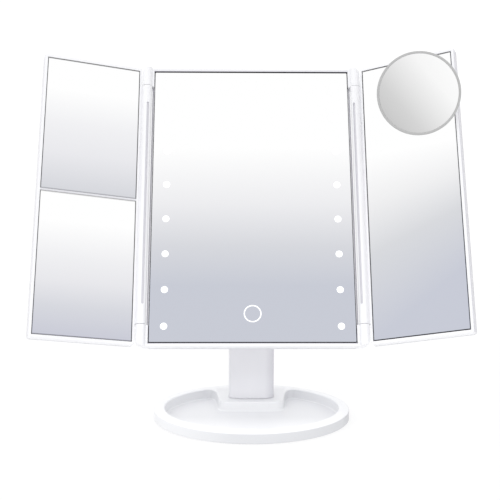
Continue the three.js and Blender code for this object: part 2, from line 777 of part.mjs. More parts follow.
function usbSocket() {
  const shell = slab(inletShape(0), boardFront - 0.2, coverBack - 0.4);
  const mouth = slab(inletShape(-inletWall), boardFront + 1, coverBack);
  const tongue = block(
    inletX - 1.9, inletX + 1.9, boardFront + 0.5, coverBack - 1.2,
    -boardBelowCentre - 0.3, -boardBelowCentre + 0.4,
  );
  return cut(shell, [mouth]).add(tongue);
}

const batteryX = (i) => (i - (batteryCount - 1) / 2) * batteryPitch;
const nubEnd = (i) => (i % 2 === 0 ? 1 : -1); // neighbouring cells stand opposite ways up
const boxMiddle = (batteryBoxBottom + boxTop) / 2;

function battery(i) {
  const nub = 1;
  const half = batteryLength / 2;
  const profile = [[0, -half], [batteryRadius - 0.4, -half], [batteryRadius, 0.4 - half],
    [batteryRadius, half - nub - 0.4], [batteryRadius - 0.4, half - nub], [1.9, half - nub],
    [1.9, half], [0, half]];
  const middle = boxMiddle + (nubEnd(i) * springLength) / 2;
  return turned(
    profile.map(([r, along]) => [r, nubEnd(i) * along]), 'z', [batteryX(i), batteryY, middle], 20,
  );
}

// A contact plate behind one cell, or across two, with a spring for each flat end.
function contact(first, last, end, tail = false) {
  const wall = (boxTop - batteryBoxBottom) / 2;
  const plateFace = boxMiddle + end * (wall - contactRoom);
  const plate = block(
    batteryX(first) - 4, batteryX(last) + 4, boxFront + seatGap, batteryY + 4,
    boxMiddle + end * (wall - seatGap), plateFace,
  );
  const pieces = [plate];
  for (let i = first; i <= last; i += 1) {
    const springTip = plateFace - end * (springLength - seatGap / 2);
    if (nubEnd(i) !== end) {
      pieces.push(turned(
        [[0, plateFace + end * 0.1], [3.4, plateFace + end * 0.1], [1.8, springTip], [0, springTip]],
        'z', [batteryX(i), batteryY, 0], 14,
      ));
    }
  }
  if (tail) {
    pieces.push(block(
      batteryX(first) - terminalWidth / 2, batteryX(first) + terminalWidth / 2,
      boxFront + seatGap, boxFront + seatGap + contactThickness,
      batteryBoxBottom - batteryBoxWall - 1.6, plateFace,
    ));
  }
  return joined(pieces);
}

// A lead from the battery box down to the board, in the space behind the light carrier.
function batteryLead(side) {
  const top = batteryBoxBottom - batteryBoxWall - 2.2;
  const bottom = -boardBelowCentre + boardHeight / 2 - 2;
  const leadY = (boardBack + coverInner) / 2;
  const section = new THREE.Shape();
  for (let i = 0; i < 6; i += 1) {
    const angle = (i / 6) * 2 * Math.PI;
    const point = [leadRadius * Math.cos(angle), leadRadius * Math.sin(angle)];
    if (i === 0) section.moveTo(...point);
    else section.lineTo(...point);
  }
  const terminal = (batteryPitch * (batteryCount - 1)) / 2;
  const extrudePath = new THREE.CatmullRomCurve3([
    new THREE.Vector3(side * terminal, leadY, top),
    new THREE.Vector3(side * terminal, leadY, top - leadBend),
    new THREE.Vector3(side * (terminal + leadSpread * 0.75), leadY, (top + bottom) / 2),
    new THREE.Vector3(side * (terminal + leadSpread), leadY, bottom + leadBend),
    new THREE.Vector3(side * (terminal + leadSpread), leadY, bottom),
  ]);
  return solid(new THREE.ExtrudeGeometry(section, { steps: 14, bevelEnabled: false, extrudePath }));
}

function tiltEar(side) {
  const foot = coverInner + shellWall / 2;
  const lean = rad(52);
  const shape = new THREE.Shape();
  shape.moveTo(foot, tiltAxisZ - earFoot);
  shape.lineTo(coverBack, tiltAxisZ - earFoot);
  shape.lineTo(tiltAxisY + earRound * Math.cos(lean), tiltAxisZ - earRound * Math.sin(lean));
  shape.absarc(tiltAxisY, tiltAxisZ, earRound, -lean, lean);
  shape.lineTo(coverBack, tiltAxisZ + earFoot);
  shape.lineTo(foot, tiltAxisZ + earFoot);
  const [x0, x1] = side > 0 ? [earInner, earOuter] : [-earOuter, -earInner];
  return crossSlab(shape, x0, x1);
}

function centreBackCover() {
  const outline = (grow) => roundedRectangle(
    -bodyHalfWidth - grow, bodyHalfWidth + grow, -bodyHalfHeight - grow, bodyHalfHeight + grow,
    frameCorner + 1,
  );
  const shell = cut(slab(outline(0), coverFront - coverEdgeRound - 1, coverBack, coverEdgeRound), [
    block(-beyond, beyond, -beyond, coverFront, -beyond, beyond),
    slab(outline(-shellWall), 0, coverInner),
  ]);
  const bulge = slab(
    roundedRectangle(
      -boxHalfWidth - bulgeMargin, boxHalfWidth + bulgeMargin,
      batteryBoxBottom - bulgeMargin, boxTop + bulgeMargin, 5,
    ),
    coverInner - bulgeRound, bulgeBack, bulgeRound,
  );
  const bulgeOutside = cut(bulge, [block(-beyond, beyond, -beyond, coverInner, -beyond, beyond)]);
  const boxWalls = block(
    -boxHalfWidth - batteryBoxWall, boxHalfWidth + batteryBoxWall,
    boxFront - boxFloorThickness, coverInner + 1,
    batteryBoxBottom - batteryBoxWall, boxTop + batteryBoxWall,
  );
  const room = block(-boxHalfWidth, boxHalfWidth, boxFront, bulgeBack + 1, batteryBoxBottom, boxTop);
  const doorSeat = slab(doorOutline(seatGap), doorFront - seatGap, bulgeBack + 1);
  const terminal = batteryX(batteryCount - 1);
  const tailSlots = bothSides((side) => block(
    side * (terminal - terminalWidth / 2 - 0.4), side * (terminal + terminalWidth / 2 + 0.4),
    boxFront, boxFront + seatGap + 2 * contactThickness,
    batteryBoxBottom - batteryBoxWall - 2, batteryBoxBottom + 1,
  ));
  const bosses = corners.map(([side, end]) => turned(
    disc(headSeatRadius + 1, coverFront, coverBack - 1), 'y', [side * screwX, 0, end * screwZ], 16,
  ));
  const screwHoles = corners.map(([side, end]) => turned(
    [[0, 0], [pilotRadius, 0], [pilotRadius, coverBack - screwHeadHeight - 0.5],
      [headSeatRadius, coverBack - screwHeadHeight - 0.5], [headSeatRadius, coverBack + 1],
      [0, coverBack + 1]],
    'y', [side * screwX, 0, end * screwZ], 16,
  ));
  const pillars = corners.map(([side, end]) => turned(
    disc(pillarRadius, carrierBack + seatGap, coverInner + 1),
    'y', [side * pillarX, 0, end * pillarZ], 12,
  ));
  const ears = bothSides(tiltEar);
  const shaftHoles = bothSides((side) => turned(
    [[0, side * (earInner - 1)], [shaftHoleRadius, side * (earInner - 1)],
      [shaftHoleRadius, side * (earOuter - earRecessDepth)],
      [earRecessRadius, side * (earOuter - earRecessDepth)], [earRecessRadius, side * (earOuter + 1)],
      [0, side * (earOuter + 1)]],
    'x', [0, tiltAxisY, tiltAxisZ], 24,
  ));
  const inletHole = slab(inletShape(seatGap), 0, coverBack + 1);
  return cut(
    joined([shell, bulgeOutside, boxWalls, ...bosses, ...pillars, ...ears]),
    [room, doorSeat, ...tailSlots, ...screwHoles, ...shaftHoles, inletHole],
  );
}

function doorOutline(grow) {
  const half = boxHalfWidth + doorLedge + grow;
  return roundedRectangle(
    -half, half, batteryBoxBottom - doorLedge - grow, boxTop + doorLedge + grow, 2 + grow,
  );
}

function batteryDoor() {
  const plate = slab(doorOutline(0), doorFront, bulgeBack, 0.3, 1);
  const gripZ = boxTop - 5;
  const grips = [0, 1, 2].map((i) => block(
    -7, 7, bulgeBack - 0.5, bulgeBack + 0.5, gripZ - i * 2.4, gripZ - i * 2.4 + 1.1,
  ));
  return joined([plate, ...grips]);
}

const coverScrew = ([side, end]) => screw(
  'y', [side * screwX, 0, end * screwZ], coverBack - 0.3, ledgeFront + 1.5,
);

function tiltShaft() {
  const headAt = -(earOuter - earRecessDepth + seatGap);
  const headEnd = headAt - shaftHeadThickness;
  const tip = nutThickness + shaftPastNut - headAt;
  return turned(
    [[0, headEnd], [shaftHeadRadius, headEnd], [shaftHeadRadius, headAt], [tiltShaftRadius, headAt],
      [tiltShaftRadius, tip], [0, tip]],
    'x', [0, tiltAxisY, tiltAxisZ], 24,
  );
}

function tiltNut() {
  const from = earOuter - earRecessDepth + seatGap;
  return turned(
    ring(tiltShaftRadius + nutThreadGap, nutRadius, from, from + nutThickness),
    'x', [0, tiltAxisY, tiltAxisZ], 8,
  );
}

function tiltCap(side) {
  const from = earOuter - capSink;
  const edge = earOuter + 0.2;
  const r = earRecessRadius - seatGap;
  return turned(
    [[0, side * from], [r, side * from], [r, side * edge],
      [r - 1.2, side * (earOuter + capCrown - 0.2)], [0, side * (earOuter + capCrown)]],
    'x', [0, tiltAxisY, tiltAxisZ], 24,
  );
}

const atLeafAxis = (side) => [side * hingeAxisX, 0, 0];

function hingePin(side, end) {
  return turned(
    disc(pinRadius, end * (pinOuterEnd - pinLength), end * pinOuterEnd), 'z', atLeafAxis(side), 14,
  );
}

// One leaf's frame with its hinge barrel. The leaf's own origin is on its hinge axis.
function leafFrame(side, divided) {
  const x = (u) => side * u;
  const span = (u0, u1) => (side > 0 ? [u0, u1] : [-u1, -u0]);
  const body = slab(
    roundedRectangle(...span(leafInnerEdge, leafOuterEdge), -leafHalfHeight, leafHalfHeight, leafCorner),
    bezelFront, leafParting, frameEdgeRound,
  );
  const barrel = turned(disc(barrelRadius, -barrelHalf, barrelHalf), 'z', [0, 0, 0], 32);
  const web = block(
    x(1), x(leafInnerEdge + 1), bezelFront + 0.4, barrelRadius - 0.3, -barrelHalf, barrelHalf,
  );
  const h = leafGlassHeight / 2 + seatGap;
  const inner = leafGlassStart - seatGap;
  const outer = leafGlassStart + leafGlassWidth + seatGap;
  const pocket = block(x(inner), x(outer), -1, ledgeFront, -h, h);
  const ledgeEnd = ledgeFront + leafLedgeThickness;
  const opening = block(
    x(inner + leafLedge), x(outer - leafLedge), -1, leafBack, leafLedge - h, h - leafLedge,
  );
  const behind = block(
    x(leafInnerEdge + leafWall), x(leafOuterEdge - leafWall), ledgeEnd, leafBack,
    leafWall - leafHalfHeight, leafHalfHeight - leafWall,
  );
  const halfBar = dividerWidth / 2;
  const bar = [
    block(x(inner - 0.5), x(outer + 0.5), bezelFront + 0.1, ledgeFront + 0.1,
      dividerHeight - halfBar, dividerHeight + halfBar),
    block(x(inner - 0.5), x(outer + 0.5), ledgeFront, ledgeEnd,
      dividerHeight - dividerFoot / 2, dividerHeight + dividerFoot / 2),
  ];
  const grooveHalf = barrelHalf - grooveEnd;
  const groove = slab(
    roundedRectangle(-grooveWidth / 2, grooveWidth / 2, -grooveHalf, grooveHalf, grooveWidth / 2 - 0.01),
    -barrelRadius - 2, grooveDepth - barrelRadius,
  );
  const pinHoles = [-1, 1].map((end) => turned(
    disc(pinRadius + runningGap, end * (barrelHalf - pinHoleInBarrel), end * (barrelHalf + 1)),
    'z', [0, 0, 0], 14,
  ));
  const open = cut(joined([body, barrel, web]), [pocket, opening, behind]);
  return cut(divided ? joined([open, ...bar]) : open, [groove, ...pinHoles]);
}

function leafCover(side) {
  const span = (u0, u1) => (side > 0 ? [u0, u1] : [-u1, -u0]);
  const front = leafParting + partingGap;
  const plate = cut(
    slab(
      roundedRectangle(...span(leafInnerEdge, leafOuterEdge), -leafHalfHeight, leafHalfHeight, leafCorner),
      front - 2, leafBack, 1.5,
    ),
    [block(-beyond, beyond, -beyond, front, -beyond, beyond)],
  );
  const clips = [];
  const endClip = leafGlassHeight / 2 - clipFromEnd;
  const inner = leafInnerEdge + leafWall + seatGap;
  const outer = leafOuterEdge - leafWall - seatGap - clipThickness;
  for (const z of [-endClip, 0, endClip]) {
    for (const u of [inner, outer]) {
      clips.push(block(
        side * u, side * (u + clipThickness), ledgeFront + leafLedgeThickness + seatGap, front + 0.2,
        z - clipLength / 2, z + clipLength / 2,
      ));
    }
  }
  return joined([plate, ...clips]);
}

// A thin glass dished towards its middle, as a magnifying glass is.
function dishedGlass(side, z0, z1, dip) {
  const geometry = new THREE.BoxGeometry(leafGlassWidth, glassThickness, z1 - z0, 6, 1, 8);
  const position = geometry.getAttribute('position');
  const halfWidth = leafGlassWidth / 2;
  const halfHeight = (z1 - z0) / 2;
  for (let i = 0; i < position.count; i += 1) {
    const across = 1 - (position.getX(i) / halfWidth) ** 2;
    const along = 1 - (position.getZ(i) / halfHeight) ** 2;
    position.setY(i, position.getY(i) + dip * across * along);
  }
  geometry.translate(
    side * (leafGlassStart + halfWidth), glassFront + glassThickness / 2, (z0 + z1) / 2,
  );
  return solid(geometry);
}

function rightLeafGlass() {
  const half = leafGlassHeight / 2;
  return flatGlass(leafGlassStart, leafGlassStart + leafGlassWidth, -half, half);
}

const forward = (profile) => profile.map(([r, height]) => [r, -height]);
const atMount = [mountX, glassFront, mountZ];

function suctionCup() {
  return turned(forward([
    [0, 2.2], [8, 1.3], [cupRadius - 0.4, seatGap], [cupRadius, 0.8], [cupRadius - 3.2, 3.4],
    [hubRadius + 0.6, 6], [hubRadius, cupHeight], [studRadius + seatGap, cupHeight],
    [studRadius + seatGap, 4.5], [0, 4.5],
  ]), 'y', atMount, 32);
}

function swivelHub() {
  return turned(forward([
    [0, 4.8], [studRadius, 4.8], [studRadius, hubBottom], [hubRadius, hubBottom],
    [hubRadius, hubBottom + hubFlange], [studRadius, hubBottom + hubFlange],
    [studRadius, forkBaseTop - 0.8], [0, forkBaseTop - 0.8],
  ]), 'y', atMount, 24);
}

const pinHole = (length) => turned(disc(swivelPinRadius + runningGap, -length, length), 'x', [0, 0, 0], 16);

// The fork's and the round mirror's own origin is the swivel pin; -y points away from the leaf.
function swivelFork() {
  const base = turned(
    forward([[0, forkBaseTop - 0.5], [studRadius + runningGap, forkBaseTop - 0.5],
      [studRadius + runningGap, forkBottom], [forkBaseRadius, forkBottom],
      [forkBaseRadius, forkBaseTop - 0.6], [forkBaseRadius - 0.6, forkBaseTop], [0, forkBaseTop]]),
    'y', [0, forkPinHeight, 0], 32,
  );
  const inner = lugThickness / 2 + seatGap;
  const ears = bothSides((side) => {
    const [x0, x1] = [side * inner, side * (inner + forkEarThickness)].sort((a, b) => a - b);
    const shape = new THREE.Shape();
    const foot = forkPinHeight - forkBaseTop + 0.3;
    shape.moveTo(foot, lugRound);
    shape.lineTo(0, lugRound);
    shape.absarc(0, 0, lugRound, Math.PI / 2, 1.5 * Math.PI);
    shape.lineTo(foot, -lugRound);
    return crossSlab(shape, x0, x1);
  });
  return cut(joined([base, ...ears]), [pinHole(10)]);
}

const swivelPin = () => turned(
  disc(swivelPinRadius, -lugThickness / 2 - forkEarThickness, lugThickness / 2 + forkEarThickness),
  'x', [0, 0, 0], 16,
);

const roundBack = roundBackOffset;
const roundInside = roundBack + roundShellWall;
const roundFront = roundInside + seatGap + roundGlassThickness + roundGlassDip + roundGlassSink;
const roundGlassRadius = roundRadius - roundRimWidth - seatGap;
const rimBottom = roundFront - 1.5;
const glassEdgeFront = roundFront - roundGlassSink;

function magnifierShell() {
  const outer = roundRadius - 0.4;
  const lip = roundGlassRadius + seatGap;
  const top = rimBottom - seatGap;
  const seat = glassEdgeFront - roundGlassThickness - seatGap;
  const shell = turned(forward([
    [0, roundBack], [outer - 4.5, roundBack], [outer - 1.2, roundBack + 1.1], [outer, roundBack + 2.8],
    [outer, top], [lip, top], [lip, seat], [lip - 2.1, seat], [lip - 2.6, roundInside],
    [0, roundInside],
  ]), 'y', [0, 0, 0], 48);
  const lugShape = new THREE.Shape();
  lugShape.moveTo(-roundBack - 0.4, lugRound);
  lugShape.lineTo(-roundBack - 0.4, -lugRound);
  lugShape.lineTo(0, -lugRound);
  lugShape.absarc(0, 0, lugRound, -Math.PI / 2, Math.PI / 2);
  const lug = crossSlab(lugShape, -lugThickness / 2, lugThickness / 2);
  return cut(shell.add(lug), [pinHole(10)]);
}

function magnifierRim() {
  const inner = roundRadius - roundRimWidth;
  return turned(forward([
    [inner, rimBottom], [roundRadius, rimBottom], [roundRadius, roundFront - 0.6],
    [roundRadius - 0.6, roundFront], [inner + 0.6, roundFront], [inner, roundFront - 0.6],
    [inner, rimBottom],
  ]), 'y', [0, 0, 0], 48);
}

function magnifierGlass() {
  const profile = [];
  const steps = 4;
  for (let i = 0; i <= steps; i += 1) {
    const r = (i / steps) * roundGlassRadius;
    profile.push([r, glassEdgeFront - roundGlassDip * (1 - (i / steps) ** 2)]);
  }
  const back = profile.map(([r, height]) => [r, height - roundGlassThickness]).reverse();
  return turned(forward([...profile, ...back]), 'y', [0, 0, 0], 48);
}

function group(position, ...children) {
  const made = new THREE.Group();
  made.position.set(...position);
  made.add(...children);
  return made;
}

// The base and neck, which stay put
const stand = group(
  [0, 0, 0],
  mesh('tray_base', trayBase(), white),
  mesh('non_slip_pad', nonSlipPad(), rubber),
  mesh('base_screw', baseScrew(), steel),
  mesh('neck_front_shell', neckFrontShell(), white),
  mesh('neck_rear_shell', neckRearShell(), white),
  mesh('neck_screw_lower', neckScrew(neckScrewHeights[0]), steel),
  mesh('neck_screw_upper', neckScrew(neckScrewHeights[1]), steel),
  mesh('tilt_bush', tiltBush(), nylon),
  mesh('friction_washer_left', frictionWasher(-1), steel),
  mesh('friction_washer_right', frictionWasher(1), steel),
);

// The left leaf
const leftBarTop = dividerHeight + dividerWidth / 2 + seatGap;
const leftBarBottom = dividerHeight - dividerWidth / 2 - seatGap;
const leftLeaf = group(
  atLeafAxis(-1),
  mesh('left_wing_frame', leafFrame(-1, true), white),
  mesh('left_wing_cover', leafCover(-1), white),
  mesh('left_upper_glass', dishedGlass(-1, leftBarTop, leafGlassHeight / 2, upperGlassDip), mirror),
  mesh('left_lower_glass', dishedGlass(-1, -leafGlassHeight / 2, leftBarBottom, lowerGlassDip), mirror),
);
leftLeaf.rotation.z = rad(leftLeafFold);

// The round mirror: the head tilts on the fork, and the fork turns on the suction mount
const roundHead = group(
  [0, 0, 0],
  mesh('magnifier_shell', magnifierShell(), white),
  mesh('magnifier_rim', magnifierRim(), greyRing),
  mesh('magnifier_glass', magnifierGlass(), mirror),
);
roundHead.rotation.x = rad(mountTilt);
const fork = group(
  [mountX, glassFront - forkPinHeight, mountZ],
  mesh('swivel_fork', swivelFork(), white),
  mesh('swivel_pin', swivelPin(), steel),
  roundHead,
);
fork.rotation.y = -rad(mountPan);

// The right leaf
const rightLeaf = group(
  atLeafAxis(1),
  mesh('right_wing_frame', leafFrame(1, false), white),
  mesh('right_wing_cover', leafCover(1), white),
  mesh('right_wing_glass', rightLeafGlass(), mirror),
  mesh('suction_cup', suctionCup(), rubber),
  mesh('swivel_hub', swivelHub(), white),
  fork,
);
rightLeaf.rotation.z = -rad(rightLeafFold);

// The centre panel, drawn about the middle of its glass and hung on the tilt axis
const centre = group(
  [0, -tiltAxisY, -tiltAxisZ],
  mesh('centre_front_frame', centreFrontFrame(), white),
  mesh('centre_back_cover', centreBackCover(), white),
  mesh('centre_glass', centreGlass(), mirror),
  mesh('light_carrier', lightCarrier(), whiteMatt),
  mesh('light_strip_left', sideLightStrip(-1), stripWhite),
  mesh('light_strip_right', sideLightStrip(1), stripWhite),
  mesh('light_strip_top', topLightStrip(), stripWhite),
  mesh('touch_sensor', touchSensor(), steel),
  mesh('control_board', controlBoard(), board),
  mesh('usb_socket', usbSocket(), steel),
  mesh('battery_link_top_left', contact(0, 1, 1), steel),
  mesh('battery_link_top_right', contact(2, 3, 1), steel),
  mesh('battery_link_bottom', contact(1, 2, -1), steel),
  mesh('battery_terminal_left', contact(0, 0, -1, true), steel),
  mesh('battery_terminal_right', contact(3, 3, -1, true), steel),
  mesh('battery_lead_left', batteryLead(-1), lead),
  mesh('battery_lead_right', batteryLead(1), lead),
  mesh('battery_door', batteryDoor(), white),
  mesh('tilt_shaft', tiltShaft(), steel),
  mesh('tilt_nut', tiltNut(), steel),
  mesh('tilt_cap_left', tiltCap(-1), white),
  mesh('tilt_cap_right', tiltCap(1), white),
  mesh('left_hinge_pin_lower', hingePin(-1, -1), steel),
  mesh('left_hinge_pin_upper', hingePin(-1, 1), steel),
  mesh('right_hinge_pin_lower', hingePin(1, -1), steel),
  mesh('right_hinge_pin_upper', hingePin(1, 1), steel),
  leftLeaf,
  rightLeaf,
);
for (let i = 0; i < batteryCount; i += 1) {
  centre.add(mesh(`battery_${i + 1}`, battery(i), cell));
}
corners.forEach((at, i) => centre.add(mesh(`cover_screw_${i + 1}`, coverScrew(at), steel)));
const panel = group([0, neckY, hingeHeight], centre);
panel.rotation.x = -rad(tiltAtRest);

const lightedMirror = group([0, 0, 0], stand, panel);
lightedMirror.name = 'lighted_mirror';

export default lightedMirror;
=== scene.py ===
import json
import math

import bmesh
import bpy
from mathutils import Matrix, Vector

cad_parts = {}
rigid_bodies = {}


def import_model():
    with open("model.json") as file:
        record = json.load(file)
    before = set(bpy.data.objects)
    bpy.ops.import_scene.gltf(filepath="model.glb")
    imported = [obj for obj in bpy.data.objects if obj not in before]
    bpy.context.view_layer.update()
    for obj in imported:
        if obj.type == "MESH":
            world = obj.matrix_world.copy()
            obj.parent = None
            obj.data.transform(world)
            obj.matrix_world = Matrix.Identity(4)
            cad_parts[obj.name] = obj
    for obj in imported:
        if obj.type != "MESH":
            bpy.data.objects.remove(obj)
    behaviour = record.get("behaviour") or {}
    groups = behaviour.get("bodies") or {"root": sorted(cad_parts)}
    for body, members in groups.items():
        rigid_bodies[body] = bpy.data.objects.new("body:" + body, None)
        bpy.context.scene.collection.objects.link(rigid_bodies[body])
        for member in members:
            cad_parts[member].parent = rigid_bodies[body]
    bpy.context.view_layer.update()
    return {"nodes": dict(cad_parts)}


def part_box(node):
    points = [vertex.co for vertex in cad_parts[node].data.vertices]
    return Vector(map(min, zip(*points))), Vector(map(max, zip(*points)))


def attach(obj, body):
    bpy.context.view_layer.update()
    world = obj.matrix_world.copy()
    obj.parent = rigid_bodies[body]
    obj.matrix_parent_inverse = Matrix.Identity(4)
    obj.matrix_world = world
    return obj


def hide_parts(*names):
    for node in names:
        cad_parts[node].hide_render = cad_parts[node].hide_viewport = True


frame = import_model()

# The tray base
# One moulding in glossy white plastic: an oval dish with a rim that slopes a little outwards,
# and the low plinth that the neck stands on. The other white mouldings are of this plastic too,
# each with painted shade in its own places.


class Wire:
    """A socket in a finish. Sums on wires, such as 1 - mask, add the nodes that work them out."""

    def __init__(self, tree, socket=None):
        self.tree, self.socket = tree, socket

    def add(self, kind, settings=(), inputs=(), output=0):
        node = self.tree.nodes.new("ShaderNode" + kind)
        for name, value in dict(settings).items():
            if name == "stops":
                ramp = node.color_ramp.elements
                while len(ramp) < len(value):
                    ramp.new(1)
                for stop, (place, colour) in zip(ramp, value):
                    stop.position, stop.color = place, (*colour, 1)
            else:
                setattr(node, name, value)
        for name, value in dict(inputs).items():
            if isinstance(value, Wire):
                self.tree.links.new(value.socket, node.inputs[name])
            else:
                node.inputs[name].default_value = value
        return Wire(self.tree, node.outputs[output])

    def maths(self, operation, first, second=0):
        return self.add("Math", {"operation": operation}, {0: first, 1: second})

    def __add__(self, other):
        return self.maths("ADD", self, other)

    def __sub__(self, other):
        return self.maths("SUBTRACT", self, other)

    def __rsub__(self, other):
        return self.maths("SUBTRACT", other, self)

    def __mul__(self, other):
        return self.maths("MULTIPLY", self, other)

    def __truediv__(self, other):
        return self.maths("DIVIDE", self, other)

    def __abs__(self):
        return self.maths("ABSOLUTE", self)

    def __lt__(self, other):
        return self.maths("LESS_THAN", self, other)

    def __gt__(self, other):
        return self.maths("GREATER_THAN", self, other)

    def __and__(self, other):
        return self.maths("MINIMUM", self, other)

    def __or__(self, other):
        return self.maths("MAXIMUM", self, other)

    __radd__, __rmul__ = __add__, __mul__

    def along(self, direction):
        """How far the place lies along a direction."""
        settings = {"operation": "DOT_PRODUCT"}
        return self.add("VectorMath", settings, {0: self, 1: direction}, output="Value")

    def noise(self, scale, detail=3.0, stretch=(1, 1, 1)):
        place = self.add("Mapping", {"vector_type": "POINT"}, {"Vector": self, "Scale": stretch})
        return self.add("TexNoise", inputs={"Vector": place, "Scale": scale, "Detail": detail})

    def fade(self, start, end, low=0, high=1):
        """A number that runs from `low` to `high` while this one runs from `start` to `end`."""
        names = ("Value", "From Min", "From Max", "To Min", "To Max")
        return self.add("MapRange", inputs=dict(zip(names, (self, start, end, low, high))))

    def mix(self, first, second):
        """This wire's share of the second colour in the first."""
        first, second = ((*c, 1) if isinstance(c, tuple) else c for c in (first, second))
        return self.add("Mix", {"data_type": "RGBA"}, {0: self, 6: first, 7: second}, output=2)

    def blend(self, first, second):
        """This wire's share of the second surface in the first."""
        return self.add("MixShader", inputs={0: self, 1: first, 2: second})

    def surface(self, colour, roughness, height=None, strength=0.2, depth=0.0002, **more):
        """A surface whose fine bumps follow `height`, if there is one."""
        inputs = {"Base Color": (*colour, 1) if isinstance(colour, tuple) else colour}
        inputs["Roughness"] = roughness
        inputs.update({name.replace("_", " "): value for name, value in more.items()})
        if height:
            bump = {"Height": height, "Strength": strength, "Distance": depth}
            inputs["Normal"] = self.add("Bump", inputs=bump)
        return self.add("BsdfPrincipled", inputs=inputs)


def finish(name, paint):
    """A material whose shader `paint` makes from the place on the object."""
    material = bpy.data.materials.new(name)
    material.use_nodes = True
    tree = material.node_tree
    tree.nodes.clear()
    shader = paint(Wire(tree).add("TexCoord", output="Object"))
    output = tree.nodes.new("ShaderNodeOutputMaterial")
    tree.links.new(shader.socket, output.inputs["Surface"])
    return material


# The frame and tray whites are painted light: lighter copies of the covers' white. SHADED and
# TRAY_SHADED are the colours of painted shade.
FRAME_PAINTED_LIGHT_WHITES = ((0.915, 0.916, 0.940), (0.925, 0.926, 0.950))
COVER_WHITES = ((0.845, 0.846, 0.872), (0.86, 0.861, 0.887))
TRAY_PAINTED_LIGHT_WHITES = ((0.95, 0.955, 0.972), (0.96, 0.965, 0.982))
SHADED, TRAY_SHADED = (0.52, 0.51, 0.57), (0.52, 0.53, 0.56)


def glossy_white(place, painted_shade=None, whites=FRAME_PAINTED_LIGHT_WHITES, shaded=SHADED):
    """White plastic that runs between two whites, and towards the shaded colour where painted
    shade is given.
    """
    flow = place.noise(9).mix(*whites)
    return place.surface(
        painted_shade.mix(flow, shaded) if painted_shade else flow,
        0.29 + place.noise(60, 5) * 0.08,
        place.noise(900, 2),
        0.03,
        Coat_Weight=0.15,
        Coat_Roughness=0.1,
    )


white_plastic = finish(
    "glossy_white_plastic", lambda place: glossy_white(place, whites=COVER_WHITES)
)


def smooth_faces():
    """Shades faces smooth, except across edges sharper than 32 degrees."""
    group = bpy.data.node_groups.new("smooth_faces", "GeometryNodeTree")
    for way in ("INPUT", "OUTPUT"):
        group.interface.new_socket("Mesh", in_out=way, socket_type="NodeSocketGeometry")
    names = ("NodeGroupInput", "GeometryNodeInputMeshEdgeAngle", "FunctionNodeCompare")
    start, angle, gentle = (group.nodes.new(name) for name in names)
    faces, edges = (group.nodes.new("GeometryNodeSetShadeSmooth") for _ in range(2))
    end = group.nodes.new("NodeGroupOutput")
    gentle.operation = "LESS_THAN"
    gentle.inputs["B"].default_value = math.radians(32)
    edges.domain = "EDGE"
    for source, target in (
        (angle.outputs["Unsigned Angle"], gentle.inputs["A"]),
        (start.outputs["Mesh"], faces.inputs["Geometry"]),
        (faces.outputs["Geometry"], edges.inputs["Geometry"]),
        (gentle.outputs["Result"], edges.inputs["Shade Smooth"]),
        (edges.outputs["Geometry"], end.inputs["Mesh"]),
    ):
        group.links.new(source, target)
    return group


smooth_group = smooth_faces()


def dress(material, *nodes):
    """Puts a finish on solids from the model, with smooth faces between their sharp edges."""
    for name in nodes:
        solid = frame["nodes"][name]
        solid.data.materials.clear()
        solid.data.materials.append(material)
        solid.modifiers.new("joined_corners", "WELD").merge_threshold = 1e-6
        solid.modifiers.new("smooth_faces", "NODES").node_group = smooth_group


def piece(name, mesh, body, slot, material, *replaced):
    """A finished new piece: its mesh is closed, its faces point outwards and its place is kept."""
    bmesh.ops.remove_doubles(mesh, verts=mesh.verts, dist=1e-7)
    bmesh.ops.recalc_face_normals(mesh, faces=mesh.faces)
    data = bpy.data.meshes.new(name)
    mesh.to_mesh(data)
    mesh.free()
    data.materials.append(material)
    made = bpy.data.objects.new(name, data)
    bpy.context.scene.collection.objects.link(made)
    made.modifiers.new("smooth_faces", "NODES").node_group = smooth_group
    if replaced:
        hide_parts(*replaced)
    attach(made, body)


TRAY_HALF_WIDTH, TRAY_HALF_DEPTH = 0.0805, 0.0595
TRAY_BOTTOM, TRAY_TOP = (corner[2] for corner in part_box("tray_base"))
RIM_WIDTH, PLINTH_FRONT = 0.0088, 0.010
PLINTH_START, PLINTH_END = 56, 124  # in degrees round the oval, from its right end


def tray_oval(inset, angle):
    """A point of the tray's outline, moved inwards."""
    across, back = math.cos(angle), math.sin(angle)
    out = Vector((across / TRAY_HALF_WIDTH, back / TRAY_HALF_DEPTH)).normalized()
    return Vector((TRAY_HALF_WIDTH * across, TRAY_HALF_DEPTH * back)) - out * inset


def bend(start, middle, end, steps):
    """The points after `start` of a curve that runs to `end` and is pulled to `middle`."""
    shares = (step / steps for step in range(1, steps + 1))
    return [start.lerp(middle, t).lerp(middle.lerp(end, t), t) for t in shares]


def hollow_outline():
    """The hollow's outline from above, and for each of its points an angle on the outer oval.

    It runs along the inside of the rim, from behind the plinth's left side round by the front,
    and back along the plinth's right side, front and left side.
    """
    plinth_turn = PLINTH_END - PLINTH_START
    rim_turn = 360 - plinth_turn
    angles = [math.radians(PLINTH_END + rim_turn * step / 112) for step in range(113)]
    outline = [tray_oval(RIM_WIDTH, angle) for angle in angles]
    join = outline[-1]
    side, front = Vector((0.0275, 0.0185)), Vector((0.021, PLINTH_FRONT + 0.0008))
    right = bend(join, Vector((0.030, join.y + 0.0067)), Vector((0.0285, 0.0276)), 8) + [side]
    right += bend(side, Vector((0.0273, 0.0112)), front, 6)
    right += bend(front, Vector((0.0105, PLINTH_FRONT)), Vector((0, PLINTH_FRONT)), 4)
    plinth = right + [Vector((-point.x, point.y)) for point in reversed(right[:-1])]
    steps = len(plinth) + 1
    angles += [math.radians(PLINTH_START + plinth_turn * step / steps) for step in range(1, steps)]
    return outline + plinth, angles


